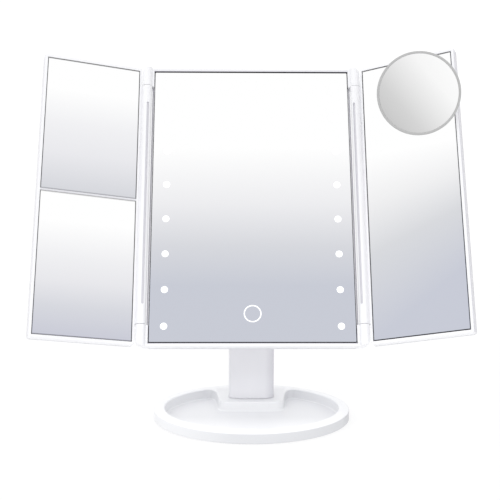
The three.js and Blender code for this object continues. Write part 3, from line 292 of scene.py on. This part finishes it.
def moulded_tray():
    """The tray as rings of points, from the underside up the wall, over the rim and down."""
    hollow, angles = hollow_outline()
    floor = TRAY_BOTTOM + 0.001

    def around(inset, height):
        return [(*tray_oval(inset, angle), height) for angle in angles]

    def inside(distance, height):
        """The hollow's outline moved outwards."""
        ring = []
        for number, point in enumerate(hollow):
            after = (hollow[(number + 1) % len(hollow)] - point).normalized()
            way = ((point - hollow[number - 1]).normalized() + after).normalized()
            out = Vector((way.y, -way.x)) * distance / way.dot(after)
            ring.append((*(point + out), height))
        return ring

    shoulder, lip, fillet = 0.001, 0.001, 0.002  # radii of the rounded edges
    fall, flat = 0.0012, 0.0004  # down the rim's slope, and along the strip beside a rounded edge
    turns = [math.radians(22.5 * step) for step in range(5)]
    rings = [around(flat, TRAY_BOTTOM), around(0, TRAY_BOTTOM + flat)]
    for turn in turns:
        height = TRAY_TOP - fall - shoulder * (1 - math.sin(turn))
        rings.append(around(shoulder * (1 - math.cos(turn)), height))
    rings += [
        around(0.0036, TRAY_TOP - 0.0005),
        around(0.0066, TRAY_TOP),
        around(0.007, TRAY_TOP),
        inside(lip + flat, TRAY_TOP),
    ]
    for turn in turns:
        rings.append(inside(lip * (1 - math.sin(turn)), TRAY_TOP - lip * (1 - math.cos(turn))))
    for turn in turns:
        height = floor + fillet * (1 - math.sin(turn))
        rings.append(inside(-fillet * (1 - math.cos(turn)), height))
    rings.append(inside(-fillet - flat, floor))
    mesh = bmesh.new()
    rings = [[mesh.verts.new(point) for point in ring] for ring in rings]
    for low, high in zip(rings, rings[1:]):
        for number in range(len(low)):
            mesh.faces.new((low[number - 1], low[number], high[number], high[number - 1]))
    mesh.faces.new(rings[0])
    mesh.faces.new(rings[-1])
    return mesh


def tray_white(place):
    """The tray's plastic, with painted shade on its walls, on the plinth and at the back of its
    floor.

    Places across and in depth run from -1 to 1 over the tray, and heights are in metres.
    """
    across = place.along((1 / TRAY_HALF_WIDTH, 0, 0))
    depth = place.along((0, 1 / TRAY_HALF_DEPTH, 0))
    height, out = place.along((0, 0, 1)), across * across + depth * depth
    outer_wall = out.fade(0.95, 0.98) & height.fade(0.0090, 0.0084)
    inner_wall = out.fade(0.90, 0.85) & height.fade(0.0019, 0.0026) & height.fade(0.0096, 0.0091)
    floor = height.fade(0.0024, 0.0019)
    plinth = height.fade(0.0093, 0.0096) & abs(across).fade(0.40, 0.34) & depth.fade(0.15, 0.2)
    # Painted shade: the outer wall, more on the right; the plinth's top; the inner walls and the
    # floor, more towards the back.
    painted_shade = outer_wall * (across.fade(-0.9, -0.2, 0.2, 0.57) + across.fade(0.9, 1.0, 0, 0.35))
    painted_shade |= (plinth & depth.fade(0.85, 0.7)) * 0.25
    painted_shade |= inner_wall * depth.fade(0.2, 0.8, 0.14, 0.45)
    painted_shade |= floor * depth.fade(-0.42, -0.05, 0, 0.24)
    return glossy_white(place, painted_shade, TRAY_PAINTED_LIGHT_WHITES, TRAY_SHADED)


tray_plastic = finish("moulded_tray_plastic", tray_white)
piece("moulded_tray", moulded_tray(), "base", "gloss_white", tray_plastic, "tray_base")

# The pad under the tray
# A thin oval of grey foam rubber, glued to the underside so that the mirror doesn't slide.
pad_rubber = finish(
    "pad_rubber",
    lambda place: place.surface(
        place.noise(700, 4).mix((0.15, 0.15, 0.16), (0.27, 0.27, 0.28)),
        0.8 + place.noise(120) * 0.15,
        place.noise(1500, 4),
        0.6,
    ),
)
dress(pad_rubber, "non_slip_pad")

# The neck
# Two glossy white half shells, screwed together from behind round a nylon bush, with painted
# shade towards the right edge. The foot is held from below by one screw.
neck_white = finish(
    "neck_plastic",
    lambda place: glossy_white(place, place.along((1, 0, 0)).fade(0.0115, 0.019, 0.24, 0.57)),
)
dress(neck_white, "neck_front_shell", "neck_rear_shell")


def plain_steel(stretch):
    """Zinc-plated steel with fine turning or rolling marks across the stretched direction."""

    def paint(place):
        marks = place.noise(500, 3, stretch)
        tone = place.noise(80).mix((0.56, 0.57, 0.59), (0.70, 0.71, 0.73))
        return place.surface(tone, 0.29 + marks * 0.18, marks, 0.12, Metallic=1.0)

    return paint


turned_steel = finish("turned_steel", plain_steel((1, 0.08, 1)))
drawn_steel = finish("drawn_steel", plain_steel((0.08, 1, 1)))
nylon = finish(
    "natural_nylon",
    lambda place: place.surface(
        place.noise(50).mix((0.66, 0.64, 0.56), (0.74, 0.72, 0.65)),
        0.5 + place.noise(200) * 0.15,
        place.noise(700),
        0.1,
    ),
)
dress(nylon, "tilt_bush")
dress(drawn_steel, "friction_washer_left", "friction_washer_right", "tilt_shaft", "tilt_nut")
dress(turned_steel, "base_screw")
dress(white_plastic, "tilt_cap_left", "tilt_cap_right")

# The centre panel
# A white front frame with a hinge ear at each corner, and a back cover with the tilt ears and
# the battery box. Depths on the panel are measured back from the line of the leaf hinges.
TILT = math.radians(31)
HINGE = Vector((0, 0.025, 0.126))
HINGE_ON_PANEL = Vector((0, 0.0205, -0.0465))
PANEL_UP = Vector((0, math.sin(TILT), math.cos(TILT)))
PANEL_BACK = Vector((0, math.cos(TILT), -math.sin(TILT)))
PANEL = (
    Matrix.Translation(HINGE)
    @ Matrix.Rotation(-TILT, 4, "X")
    @ Matrix.Translation(-HINGE_ON_PANEL)
)


def up_panel(place):
    """The height above the middle of the centre glass, along the tilted panel."""
    return place.along(PANEL_UP) - PANEL.translation.dot(PANEL_UP)


def down_into(place):
    """The depth on the panel, from the line of the leaf hinges backwards."""
    return place.along(PANEL_BACK) - PANEL.translation.dot(PANEL_BACK)


GLASS_HALF_WIDTH, GLASS_HALF_HEIGHT, GLASS_GAP = 0.0825, 0.1195, 0.00035
HINGE_SLOT = (0.0834, 0.0846, 0.1049)  # its sides and its half height
DARK = (0.02, 0.02, 0.025)


def frame_white(place):
    """The white moulding, with painted shade in the hinge slots, on the glass's two lips and
    above.

    The gap between a lip and the glass is painted black as shade.
    """
    side, up, depth = abs(place.along((1, 0, 0))), up_panel(place), down_into(place)
    height = abs(up)
    slot = (side > HINGE_SLOT[0]) & (side < HINGE_SLOT[1]) & (height < HINGE_SLOT[2])
    beside, past_end = side < GLASS_HALF_WIDTH + 0.0005, height > GLASS_HALF_HEIGHT - 0.0002
    lip = beside & past_end & (height < GLASS_HALF_HEIGHT + 0.0009)
    head = beside & (up > GLASS_HALF_HEIGHT + 0.0004)
    gap = (side < GLASS_HALF_WIDTH + GLASS_GAP) & (height < GLASS_HALF_HEIGHT + GLASS_GAP)
    gap &= past_end & (depth > 0.0004)
    moulding = glossy_white(place, slot & (depth > 0.0007) | head * 0.22 | lip * 0.95)
    return gap.blend(moulding, place.surface(DARK, 0.6))


dress(finish("slotted_white_plastic", frame_white), "centre_front_frame")
dress(white_plastic, "centre_back_cover", "battery_door")

# The mirrors
# Silvered glass. A thin black line runs round each one, where the silver ends at the ground
# edge; its darkness at the top and bottom of each glass is painted shade as well. The silver
# mirrors the room, and its colour holds a painted reflection that darkens downwards.


def silvered(
    low, high, left, right, painted_reflection, start, reach, line=((1, 0, 0), 0), lean=(1, 1), foot=1, head=1
):
    """Mirror glass between two heights and two places along a line across the glass.

    The painted reflection runs down the glass from the height `start`, over the length `reach`
    times lean, which may change from the glass's left to its right. `foot` and `head` say how
    dark the black line is at the bottom and at the top, where it is painted shade as well.
    """

    def paint(place):
        height, side = up_panel(place), place.along(line[0]) - line[1]
        share = (height - start) / (side.fade(left, right, *lean) * reach) + 1.0
        tone = place.add("ValToRGB", {"stops": painted_reflection}, {"Fac": share})
        lower = (height - low).fade(0.0004, 0.001, foot, 0)
        upper = (high - height).fade(0.0004, 0.001, head, 0)
        sides = ((side - left) & (right - side)).fade(0.0002, 0.0006, 0.9, 0)
        border = lower | upper | sides
        haze = place.noise(25, 4)
        return place.surface(
            border.mix(tone, DARK), 0.015 + haze * 0.03 + border * 0.3, Metallic=1.0
        )

    return paint


SKY = 1.12  # how bright the light is that the glasses mirror


def up_glass(*stops):
    """Stops of painted reflection up a glass, each with its share of the height and its red, green
    and blue light.
    """
    return [(place, (red / SKY, green / SKY, blue / SKY)) for place, red, green, blue in stops]


centre_silver = silvered(
    -GLASS_HALF_HEIGHT,
    GLASS_HALF_HEIGHT,
    -GLASS_HALF_WIDTH,
    GLASS_HALF_WIDTH,
    up_glass(
        (0, 0.58, 0.60, 0.67),
        (0.28, 0.58, 0.60, 0.67),
        (0.48, 0.68, 0.69, 0.73),
        (0.70, 0.85, 0.85, 0.87),
        (1, 1, 1, 1),
    ),
    start=0.0485,
    reach=0.168,
    foot=0.5,
    head=0.6,
)
dress(finish("centre_mirror", centre_silver), "centre_glass")

# The leaves
# Each leaf is a white frame with its hinge barrel, closed by a flat white cover behind. A long
# groove runs down the front of the barrel. The left leaf holds two glasses, the right one.
LEAF_HINGE_X, LEFT_FOLD, RIGHT_FOLD = 0.0887, 18, 27
LEAF_GLASS, LEAF_OUTSIDE = (0.0067, 0.0847), 0.0872  # distances from the hinge
LEAF_GLASS_HALF_HEIGHT = 0.119
BAR = (-0.00065, 0.00165)  # heights between the left leaf's glasses
BAR_MIDDLE = sum(BAR) / 2
GROOVE_HALF_WIDTH, GROOVE_HALF_HEIGHT, GROOVE_FRONT = 0.00097, 0.0889, -0.0039


class Leaf:
    """Where a folded leaf lies, and how much painted shade its outer side has."""

    def __init__(self, side, fold, shade):
        turn = math.radians(fold)
        self.across = PANEL.to_3x3() @ Vector((side * math.cos(turn), -math.sin(turn), 0))
        self.back = PANEL.to_3x3() @ Vector((side * math.sin(turn), math.cos(turn), 0))
        self.hinge = PANEL @ Vector((side * LEAF_HINGE_X, 0, 0))
        self.line = (self.across, self.across.dot(self.hinge))
        self.shade = shade

    def grooved_white(self, place):
        """The white frame, with painted shade in the barrel's groove, between the glasses and
        outside.
        """
        side = place.along(self.across) - self.line[1]
        depth = place.along(self.back) - self.back.dot(self.hinge)
        height = up_panel(place)
        groove = (abs(side) < GROOVE_HALF_WIDTH) & (abs(height) < GROOVE_HALF_HEIGHT)
        groove &= depth > GROOVE_FRONT
        between = (side > LEAF_GLASS[0]) & (side < LEAF_GLASS[1])
        between &= abs(height - BAR_MIDDLE) < 0.0012
        outside = side > LEAF_OUTSIDE
        return glossy_white(place, groove * 0.5 | between * 0.45 | outside * self.shade)


left_leaf = Leaf(-1, fold=LEFT_FOLD, shade=0.3)
right_leaf = Leaf(1, fold=RIGHT_FOLD, shade=0.5)
for side, leaf in (("left", left_leaf), ("right", right_leaf)):
    dress(finish(side + "_grooved_white_plastic", leaf.grooved_white), side + "_wing_frame")
    dress(white_plastic, side + "_wing_cover")
left_upper_silver = silvered(
    BAR[1],
    LEAF_GLASS_HALF_HEIGHT,
    *LEAF_GLASS,
    up_glass(
        (0, 0.67, 0.68, 0.72), (0.28, 0.82, 0.82, 0.85), (0.50, 0.88, 0.88, 0.90), (0.77, 1, 1, 1)
    ),
    start=LEAF_GLASS_HALF_HEIGHT,
    reach=LEAF_GLASS_HALF_HEIGHT - BAR[1],
    line=left_leaf.line,
    foot=0.3,
    head=0.8,
)
left_lower_silver = silvered(
    -LEAF_GLASS_HALF_HEIGHT,
    BAR[0],
    *LEAF_GLASS,
    up_glass(
        (0, 0.59, 0.60, 0.68),
        (0.20, 0.68, 0.69, 0.74),
        (0.38, 0.81, 0.81, 0.84),
        (0.54, 0.87, 0.87, 0.89),
        (0.80, 1, 1, 1),
    ),
    start=BAR[0],
    reach=LEAF_GLASS_HALF_HEIGHT + BAR[0],
    line=left_leaf.line,
    foot=0.6,
    head=0.3,
)
right_silver = silvered(
    -LEAF_GLASS_HALF_HEIGHT,
    LEAF_GLASS_HALF_HEIGHT,
    *LEAF_GLASS,
    up_glass(
        (0, 0.58, 0.60, 0.68), (0.45, 0.69, 0.70, 0.73), (0.73, 0.87, 0.87, 0.88), (1, 1, 1, 1)
    ),
    start=0.04,
    reach=0.15,
    line=right_leaf.line,
    lean=(1.06, 0.72),
    head=0.9,
)
dress(finish("left_upper_silver", left_upper_silver), "left_upper_glass")
dress(finish("left_lower_silver", left_lower_silver), "left_lower_glass")
dress(finish("right_silver", right_silver), "right_wing_glass")

# The lamp windows and the touch ring
# Clear dots and a ring in the silver, frosted from behind and given a painted glow. The light
# strips shine through the dots, and a finger on the ring switches them.
GLASS_FRONT = 0.0009
LAMP_X, LAMP_PITCH, LAMP_ROWS = 0.0705, 0.0303, 8
RING_HEIGHT, RING_INNER, RING_OUTER = -0.0957, 0.0062, 0.00705


def frosted_paint(place):
    """Frosted glass with a weak painted glow."""
    speck = place.noise(2500, 2)
    return place.surface(
        speck.mix((0.92, 0.92, 0.92), (0.98, 0.98, 0.98)),
        0.45 + speck * 0.1,
        Emission_Color=(1, 1, 1, 1),
        Emission_Strength=0.35,
    )


frosted = finish("frosted_window", frosted_paint)


def spun(mesh, profile, place, steps):
    """Turns a profile of (radius, height) points round the z axis of `place`."""
    points = [mesh.verts.new(place @ Vector((radius, 0, height))) for radius, height in profile]
    edges = [mesh.edges.new(pair) for pair in zip(points, points[1:])]
    bmesh.ops.spin(
        mesh,
        geom=points + edges,
        cent=place.translation,
        axis=place.to_3x3().col[2],
        angle=2 * math.pi,
        steps=steps,
        use_merge=True,
    )


OUTWARDS = Matrix.Rotation(math.pi / 2, 4, "X")  # turns a profile's z to the front of the glass


def on_glass(x, z):
    """A place on the centre glass's face, with its z axis out of the glass."""
    return PANEL @ Matrix.Translation((x, GLASS_FRONT, z)) @ OUTWARDS


levels = [(row - (LAMP_ROWS - 1) / 2) * LAMP_PITCH for row in range(LAMP_ROWS)]
lamps = [(side * LAMP_X, level) for side in (-1, 1) for level in levels]
lamps += [(column * LAMP_X / 3, levels[-1]) for column in range(-2, 3)]
dot = [(0, -0.0001), (0.0028, -0.0001), (0.00285, 0), (0.0028, 0.00006), (0, 0.0001)]
windows = bmesh.new()
for x, z in lamps:
    spun(windows, dot, on_glass(x, z), 32)
piece("lamp_windows", windows, "panel", "light_strip", frosted)
touch_ring = bmesh.new()
front = [(RING_OUTER, 0.00005), (RING_INNER, 0.00005)]
band = [(RING_INNER, -0.0001), (RING_OUTER, -0.0001), *front, (RING_INNER, -0.0001)]
spun(touch_ring, band, on_glass(0, RING_HEIGHT), 64)
piece("touch_ring", touch_ring, "panel", "light_strip", frosted)

# Behind the glass
# A matt white carrier with three light strips, the touch sensor and the control board. The
# strips are white boards with yellow light chips.
CHIPS_BACK, BOARD_PARTS_FRONT = 0.0041, 0.00895  # depths on the panel


def carrier_paint(place):
    """Matt white plastic."""
    tone = place.noise(12).mix((0.72, 0.72, 0.72), (0.76, 0.76, 0.76))
    return place.surface(tone, 0.55, place.noise(600), 0.15)


dress(finish("matt_white_plastic", carrier_paint), "light_carrier")


def strip_paint(place):
    """A white board with a few copper marks, and yellow chips in front of it."""
    chips = down_into(place) < CHIPS_BACK
    print_marks = (place.noise(260, 1) > 0.6) * 0.4
    board_tone = print_marks.mix((0.84, 0.84, 0.80), (0.72, 0.55, 0.25))
    return place.surface(chips.mix(board_tone, (0.90, 0.72, 0.20)), 0.45 - chips * 0.15)


dress(
    finish("light_strip_board", strip_paint),
    *("light_strip_" + place for place in ("left", "right", "top")),
)


def board_paint(place):
    """Green solder mask over the tracks, and black parts behind it."""
    parts = down_into(place) > BOARD_PARTS_FRONT
    bands = {"wave_type": "BANDS", "bands_direction": "X"}
    waves = {"Vector": place, "Scale": 160.0, "Distortion": 6.0}
    tracks = place.add("TexWave", bands, waves, output="Fac") > 0.8
    tone = tracks.mix((0.012, 0.14, 0.05), (0.03, 0.24, 0.09))
    return place.surface(parts.mix(tone, (0.02, 0.02, 0.022)), 0.35 + parts * 0.2, tracks, 0.3)


dress(finish("control_board", board_paint), "control_board")
dress(drawn_steel, "usb_socket", "touch_sensor")
dress(
    turned_steel,
    *(f"{side}_hinge_pin_{end}" for side in ("left", "right") for end in ("lower", "upper")),
    "battery_terminal_right",
)


def lead_paint(place):
    """A red sheath on the right lead and a black one on the left."""
    red = place.along((1, 0, 0)) > 0
    shade = place.noise(150)
    return place.surface(
        red.mix((0.03, 0.03, 0.035), shade.mix((0.42, 0.04, 0.035), (0.5, 0.06, 0.05))),
        0.45 + shade * 0.1,
        place.noise(900),
        0.1,
    )


dress(finish("lead_sheath", lead_paint), "battery_lead_left", "battery_lead_right")

# The batteries
# Four AAA cells, side by side and turned end for end in turn. Each has a plain blue-grey sleeve
# with a pale band, between its bright steel ends.
BATTERY_MIDDLE, BAND_START = -0.0029, 0.0125


def cell_paint(way):
    """A cell that points up the panel, or down it with `way` -1."""

    def paint(place):
        along = (up_panel(place) - BATTERY_MIDDLE - way * 0.002) * way
        sleeved = abs(along + 0.0008) < 0.0204
        sleeve = (along > BAND_START).mix((0.05, 0.09, 0.15), (0.35, 0.36, 0.38))
        return place.surface(
            sleeved.mix((0.66, 0.66, 0.67), sleeve),
            0.3 + place.noise(90) * 0.1,
            Metallic=1.0 - sleeved * 0.85,
        )

    return paint


for number in range(1, 5):
    way = 1 if number % 2 else -1
    dress(finish(f"battery_{number}_sleeve", cell_paint(way)), f"battery_{number}")

# The battery contacts
# Plates of nickel-plated steel that press against the cells' caps, each with a tapered coil
# spring behind a cell's flat end. The left terminal's tail runs out to its lead.
CELL_DEPTH, CELL_PITCH = 0.01535, 0.011
PLATE_FACE, PLATE_THICKNESS, PLATE_FRONT, PLATE_REACH = 0.0244, 0.0004, 0.0101, 0.004
TAIL_END, TAIL_HALF_WIDTH = -0.0314, 0.001


def bar(mesh, low, high):
    """A plate on the panel with slightly rounded edges."""
    low, high = Vector(low), Vector(high)
    size = Matrix.Diagonal(high - low).to_4x4()
    place = PANEL @ Matrix.Translation((low + high) / 2) @ size
    corners = bmesh.ops.create_cube(mesh, size=1, matrix=place)["verts"]
    edges = list({edge for corner in corners for edge in corner.link_edges})
    bmesh.ops.bevel(
        mesh, geom=edges, offset=0.00008, affect="EDGES", segments=2, profile=0.5, material=-1
    )


def set_into(mesh, part, place):
    """Adds a part that was made on its own to a mesh, at its place."""
    part.transform(place)
    data = bpy.data.meshes.new("part")
    part.to_mesh(data)
    part.free()
    mesh.from_mesh(data)
    bpy.data.meshes.remove(data)


def spring():
    """Three and a half turns of wire that narrow towards the cell, along the z axis."""
    turns, steps, wire, wide, length = 3.5, 20, 0.00032, 0.0031, 0.0035
    mesh = bmesh.new()
    lie = Matrix.Translation((wide, 0, wire)) @ Matrix.Rotation(math.pi / 2, 4, "X")
    section = bmesh.ops.create_circle(mesh, cap_ends=True, segments=8, radius=wire, matrix=lie)
    faces = {face for corner in section["verts"] for face in corner.link_faces}
    edges = {edge for corner in section["verts"] for edge in corner.link_edges}
    count = round(turns * steps)
    bmesh.ops.spin(
        mesh,
        geom=[*section["verts"], *edges, *faces],
        cent=(0, 0, 0),
        axis=(0, 0, 1),
        dvec=(0, 0, (length - 2 * wire) / count),
        angle=turns * 2 * math.pi,
        steps=count,
        use_duplicate=False,
    )
    for corner in mesh.verts:
        corner.co.xy *= 1 - 0.4 * corner.co.z / length
    bmesh.ops.holes_fill(mesh, edges=mesh.edges)
    return mesh


def cell_x(cell):
    """The place across the panel of a cell, counted from 0."""
    return (cell - 1.5) * CELL_PITCH


for name, cells, end, sprung in (
    ("top_left", (0, 1), 1, 1),
    ("top_right", (2, 3), 1, 3),
    ("bottom", (1, 2), -1, 2),
    ("terminal", (0, 0), -1, 0),
):
    contact = bmesh.new()
    face, far = (BATTERY_MIDDLE + end * (PLATE_FACE + more) for more in (0, PLATE_THICKNESS))
    low, high = sorted((face, far))
    left, right = cell_x(cells[0]) - PLATE_REACH, cell_x(cells[1]) + PLATE_REACH
    bar(contact, (left, PLATE_FRONT, low), (right, CELL_DEPTH + PLATE_REACH, high))
    turned_in = Matrix.Rotation(math.pi if end > 0 else 0, 4, "X")
    seat = Matrix.Translation((cell_x(sprung), CELL_DEPTH, face))
    set_into(contact, spring(), PANEL @ seat @ turned_in)
    replaced = "battery_link_" + name
    if name == "terminal":
        replaced = "battery_terminal_left"
        left, right = cell_x(0) - TAIL_HALF_WIDTH, cell_x(0) + TAIL_HALF_WIDTH
        back = PLATE_FRONT + PLATE_THICKNESS
        bar(contact, (left, PLATE_FRONT, TAIL_END), (right, back, low))
    piece("sprung_contact_" + name, contact, "panel", "steel", turned_steel, replaced)

# The screws
# Zinc-plated steel screws with pan heads: two hold the neck's halves together, and four hold
# the back cover on the frame. Each head has a cross recess and a rounded rim.
HEAD_RADIUS, HEAD_HEIGHT, SHANK_RADIUS, RECESS_DEPTH = 0.0026, 0.0014, 0.0011, 0.0009
HEAD_ROUNDING = ((0.00225, -0.0001), (0.00248, -0.00032), (HEAD_RADIUS, -0.0007))


def cross_screw(length):
    """A screw along the z axis, with the middle of its head's top at the origin."""
    sides = (
        *HEAD_ROUNDING,
        (HEAD_RADIUS, -HEAD_HEIGHT),
        (SHANK_RADIUS, -HEAD_HEIGHT),
        (SHANK_RADIUS, 0.0008 - length),
        (0.0005, -length),
    )
    mesh = bmesh.new()
    bmesh.ops.create_grid(mesh, x_segments=5, y_segments=5, size=1)
    middles = {face: [abs(c) for c in face.calc_center_median().xy] for face in mesh.faces}
    cross = [face for face, middle in middles.items() if min(middle) < 0.1 and max(middle) < 0.5]
    for corner in mesh.verts:
        if max(map(abs, corner.co.xy)) > 0.9:
            corner.co = corner.co.normalized() * 0.0019
        else:
            arms = [0.0013 if abs(c) > 0.3 else 0.0003 for c in corner.co.xy]
            corner.co.xy = [math.copysign(arm, c) for arm, c in zip(arms, corner.co.xy)]
    rim = [edge for edge in mesh.edges if edge.is_boundary]
    sunk = bmesh.ops.extrude_face_region(mesh, geom=cross)["geom"]
    for corner in sunk:
        if isinstance(corner, bmesh.types.BMVert):
            corner.co = Vector((corner.co.x * 0.7, corner.co.y * 0.7, -RECESS_DEPTH))
    for radius, height in sides:
        drawn = bmesh.ops.extrude_edge_only(mesh, edges=rim)["geom"]
        rim = [edge for edge in drawn if isinstance(edge, bmesh.types.BMEdge) and edge.is_boundary]
        for corner in {corner for edge in rim for corner in edge.verts}:
            corner.co = Vector((*corner.co.xy.normalized() * radius, height))
    bmesh.ops.edgeloop_fill(mesh, edges=rim)
    return mesh


FACING_BACK = Matrix.Rotation(-math.pi / 2, 4, "X")  # turns a screw's z to the back
NECK_BACK, COVER_BACK = 0.0318, 0.0122
neck_screws = bmesh.new()
for height in (0.038, 0.1):
    place = Matrix.Translation((0, NECK_BACK, height))
    set_into(neck_screws, cross_screw(0.0103), place @ FACING_BACK)
neck_solids = ("neck_screw_lower", "neck_screw_upper")
piece("neck_cross_screws", neck_screws, "base", "steel", turned_steel, *neck_solids)
cover_screws = bmesh.new()
for z in (-0.1143, 0.1143):
    for x in (-0.0773, 0.0773):
        place = PANEL @ Matrix.Translation((x, COVER_BACK, z))
        set_into(cover_screws, cross_screw(0.0075), place @ FACING_BACK)
cover_solids = [f"cover_screw_{number}" for number in range(1, 5)]
piece("cover_cross_screws", cover_screws, "panel", "steel", turned_steel, *cover_solids)

# The round mirror's mount
# A soft clear cup sucks onto the glass. A white hub in it carries a fork that turns, and a
# steel pin holds the round mirror in the fork.
cup_vinyl = finish(
    "clear_vinyl",
    lambda place: place.surface(
        place.noise(40).mix((0.62, 0.64, 0.68), (0.70, 0.72, 0.75)),
        0.16 + place.noise(90) * 0.08,
        place.noise(300),
        0.05,
        Transmission_Weight=0.6,
        IOR=1.45,
    ),
)
dress(cup_vinyl, "suction_cup")
dress(white_plastic, "swivel_hub", "swivel_fork")
dress(turned_steel, "swivel_pin")

# The round mirror
# A white dish-shaped shell with a satin grey ring snapped round a dished magnifying glass.
dress(white_plastic, "magnifier_shell")
PIVOT = Vector((0.13520755, 0.03574966, 0.26478681))
FORK_TURN, DISC_TILT = -29.1, 31.1
turned = PANEL.to_3x3()
for angle, axis in ((-RIGHT_FOLD, "Z"), (FORK_TURN, "Y"), (DISC_TILT, "X")):
    turned = turned @ Matrix.Rotation(math.radians(angle), 3, axis)
disc_across, disc_out = turned.col[0], -turned.col[1]
disc_axes = Matrix((disc_across, disc_out.cross(disc_across), disc_out)).transposed()
DISC = Matrix.Translation(PIVOT) @ disc_axes.to_4x4()  # its z axis runs out of the glass
RING_OUT, RING_IN, RING_ROUNDING, DISC_FRONT = 0.0336, 0.0317, 0.0006, 0.01
DISC_GLASS_RADIUS, DISC_GLASS_SINK, DISC_GLASS_THICKNESS = 0.0316, 0.0005, 0.0012


def ring_paint(place):
    """Satin grey with fine brush marks."""
    brushed = place.noise(400, 3, (0.2, 1, 1))
    tone = brushed.mix((0.46, 0.46, 0.46), (0.53, 0.53, 0.53))
    return place.surface(tone, 0.3 + brushed * 0.1, brushed, 0.06, Metallic=0.3)


grey_ring = bmesh.new()
section = [(RING_IN, DISC_FRONT - 0.0015), (RING_OUT, DISC_FRONT - 0.0015)]
for middle, start in ((RING_OUT - RING_ROUNDING, 0), (RING_IN + RING_ROUNDING, 90)):
    for step in range(5):
        turn = math.radians(start + step * 22.5)
        height = DISC_FRONT + RING_ROUNDING * (math.sin(turn) - 1)
        section.append((middle + RING_ROUNDING * math.cos(turn), height))
section.append(section[0])
spun(grey_ring, section, DISC, 128)
satin_grey = finish("satin_grey", ring_paint)
piece("round_mirror_ring", grey_ring, "magnifier", "grey_rim", satin_grey, "magnifier_rim")


def round_silver(place):
    """Silver that mirrors the room, with a painted reflection that is paler towards the upper
    right.
    """
    slope = Vector((0.75, 0, 0.66))
    rise = place.along(slope) - (DISC @ Vector((0, 0, DISC_FRONT))).dot(slope)
    painted_reflection_greys = ((0, 0.59), (0.23, 0.67), (0.5, 0.82), (0.77, 0.96), (1, 1))
    stops = [(stop, (grey, grey, grey)) for stop, grey in painted_reflection_greys]
    shade = place.add("ValToRGB", {"stops": stops}, {"Fac": rise.fade(-0.031, 0.031)})
    return place.surface(shade, 0.02 + place.noise(25) * 0.03, Metallic=1.0)


round_glass = bmesh.new()
shares = [step / 12 for step in range(13)]
rim_height = DISC_FRONT - 0.0009
dish = [(DISC_GLASS_RADIUS * n, rim_height - DISC_GLASS_SINK * (1 - n**2)) for n in shares]
back = [(radius, height - DISC_GLASS_THICKNESS) for radius, height in reversed(dish)]
spun(round_glass, dish + back, DISC, 128)
silver = finish("round_silver", round_silver)
piece("round_mirror_glass", round_glass, "magnifier", "mirror_glass", silver, "magnifier_glass")

# The camera, the floor and the light
# The camera stands in front and looks slightly down. The floor glows white like a lit table, a
# weak wide sun stands for a window on the left, and a soft lamp in front brightens the tray.
CAMERA_AT = Vector((-0.01808, -0.86288, 0.3228))
PITCH, ROLL, YAW = (math.radians(angle) for angle in (-11.831, 0.284, -1.067))
FOCAL_PIXELS, PICTURE_PIXELS, SENSOR = 1100, 500, 36
right, forward, up = (
    Matrix.Rotation(ROLL, 3, "Y") @ Matrix.Rotation(-PITCH, 3, "X") @ Matrix.Rotation(-YAW, 3, "Z")
).row
camera = bpy.data.objects.new("camera", bpy.data.cameras.new("camera"))
camera.data.lens = FOCAL_PIXELS / PICTURE_PIXELS * SENSOR
camera.data.sensor_width = SENSOR
camera.data.clip_start, camera.data.clip_end = 0.01, 500
aim = Matrix((right, up, -forward)).transposed().to_4x4()
camera.matrix_world = Matrix.Translation(CAMERA_AT) @ aim
bpy.context.scene.collection.objects.link(camera)
bpy.context.scene.camera = camera


def floor_paint(place):
    """A matt floor that glows white."""
    glow = {"Emission_Color": (1, 1, 1, 1), "Emission_Strength": 0.76}
    return place.surface((0.22, 0.22, 0.222), 0.9, **glow)


floor_mesh = bmesh.new()
bmesh.ops.create_grid(floor_mesh, x_segments=1, y_segments=1, size=200)
floor_data = bpy.data.meshes.new("floor")
floor_mesh.to_mesh(floor_data)
floor_mesh.free()
floor_data.materials.append(finish("lit_white_floor", floor_paint))
floor = bpy.data.objects.new("floor", floor_data)
bpy.context.scene.collection.objects.link(floor)

# The room is bright above and behind the mirror, darker far out on both sides, and plain
# white where the camera sees it past the floor.
studio = bpy.data.worlds.new("studio")
studio.use_nodes = True
nodes, links = studio.node_tree.nodes, studio.node_tree.links
sky = Wire(studio.node_tree).add("TexCoord", output="Generated")
above, sideways, behind = (sky.along(way) for way in ((0, -0.25, 1), (1, 0, 0), (0, 1, 0)))
glow = above.fade(0.15, 0.50, 0.86, SKY) | behind.fade(0.2, 0.6, 0.8, 1.05)
glow = glow - sideways.fade(0.6, 1, 0, 0.55) - sideways.fade(-0.8, -1, 0, 0.4)
glow |= Wire(studio.node_tree).add("LightPath", output="Is Camera Ray") * 1.05
links.new(glow.socket, nodes["Background"].inputs["Strength"])
nodes["Background"].inputs["Color"].default_value = (1, 1, 1, 1)
bpy.context.scene.world = studio
bpy.context.scene.view_settings.view_transform = "Standard"

window = bpy.data.lights.new("window", "SUN")
window.energy, window.angle = 0.2, math.radians(40)
tray_lamp = bpy.data.lights.new("tray_lamp", "SPOT")
tray_lamp.energy, tray_lamp.shadow_soft_size = 4.5, 0.1
tray_lamp.spot_size, tray_lamp.spot_blend = math.radians(20), 0.7
for light, place, towards in (
    (window, (-1, 0, 2), Vector((0.6, 0, -1))),
    (tray_lamp, (-0.2, -0.7, 0.66), Vector((0.2, 0.69, -0.66))),
):
    holder = bpy.data.objects.new(light.name, light)
    holder.location = place
    holder.rotation_euler = towards.to_track_quat("-Z", "Y").to_euler()
    holder.visible_glossy = False
    bpy.context.scene.collection.objects.link(holder)

# Nothing of the round mirror shows in the glass behind it.
for thing in bpy.context.scene.objects:
    if thing.name.startswith(("magnifier", "round_mirror", "swivel", "suction")):
        thing.visible_glossy = False
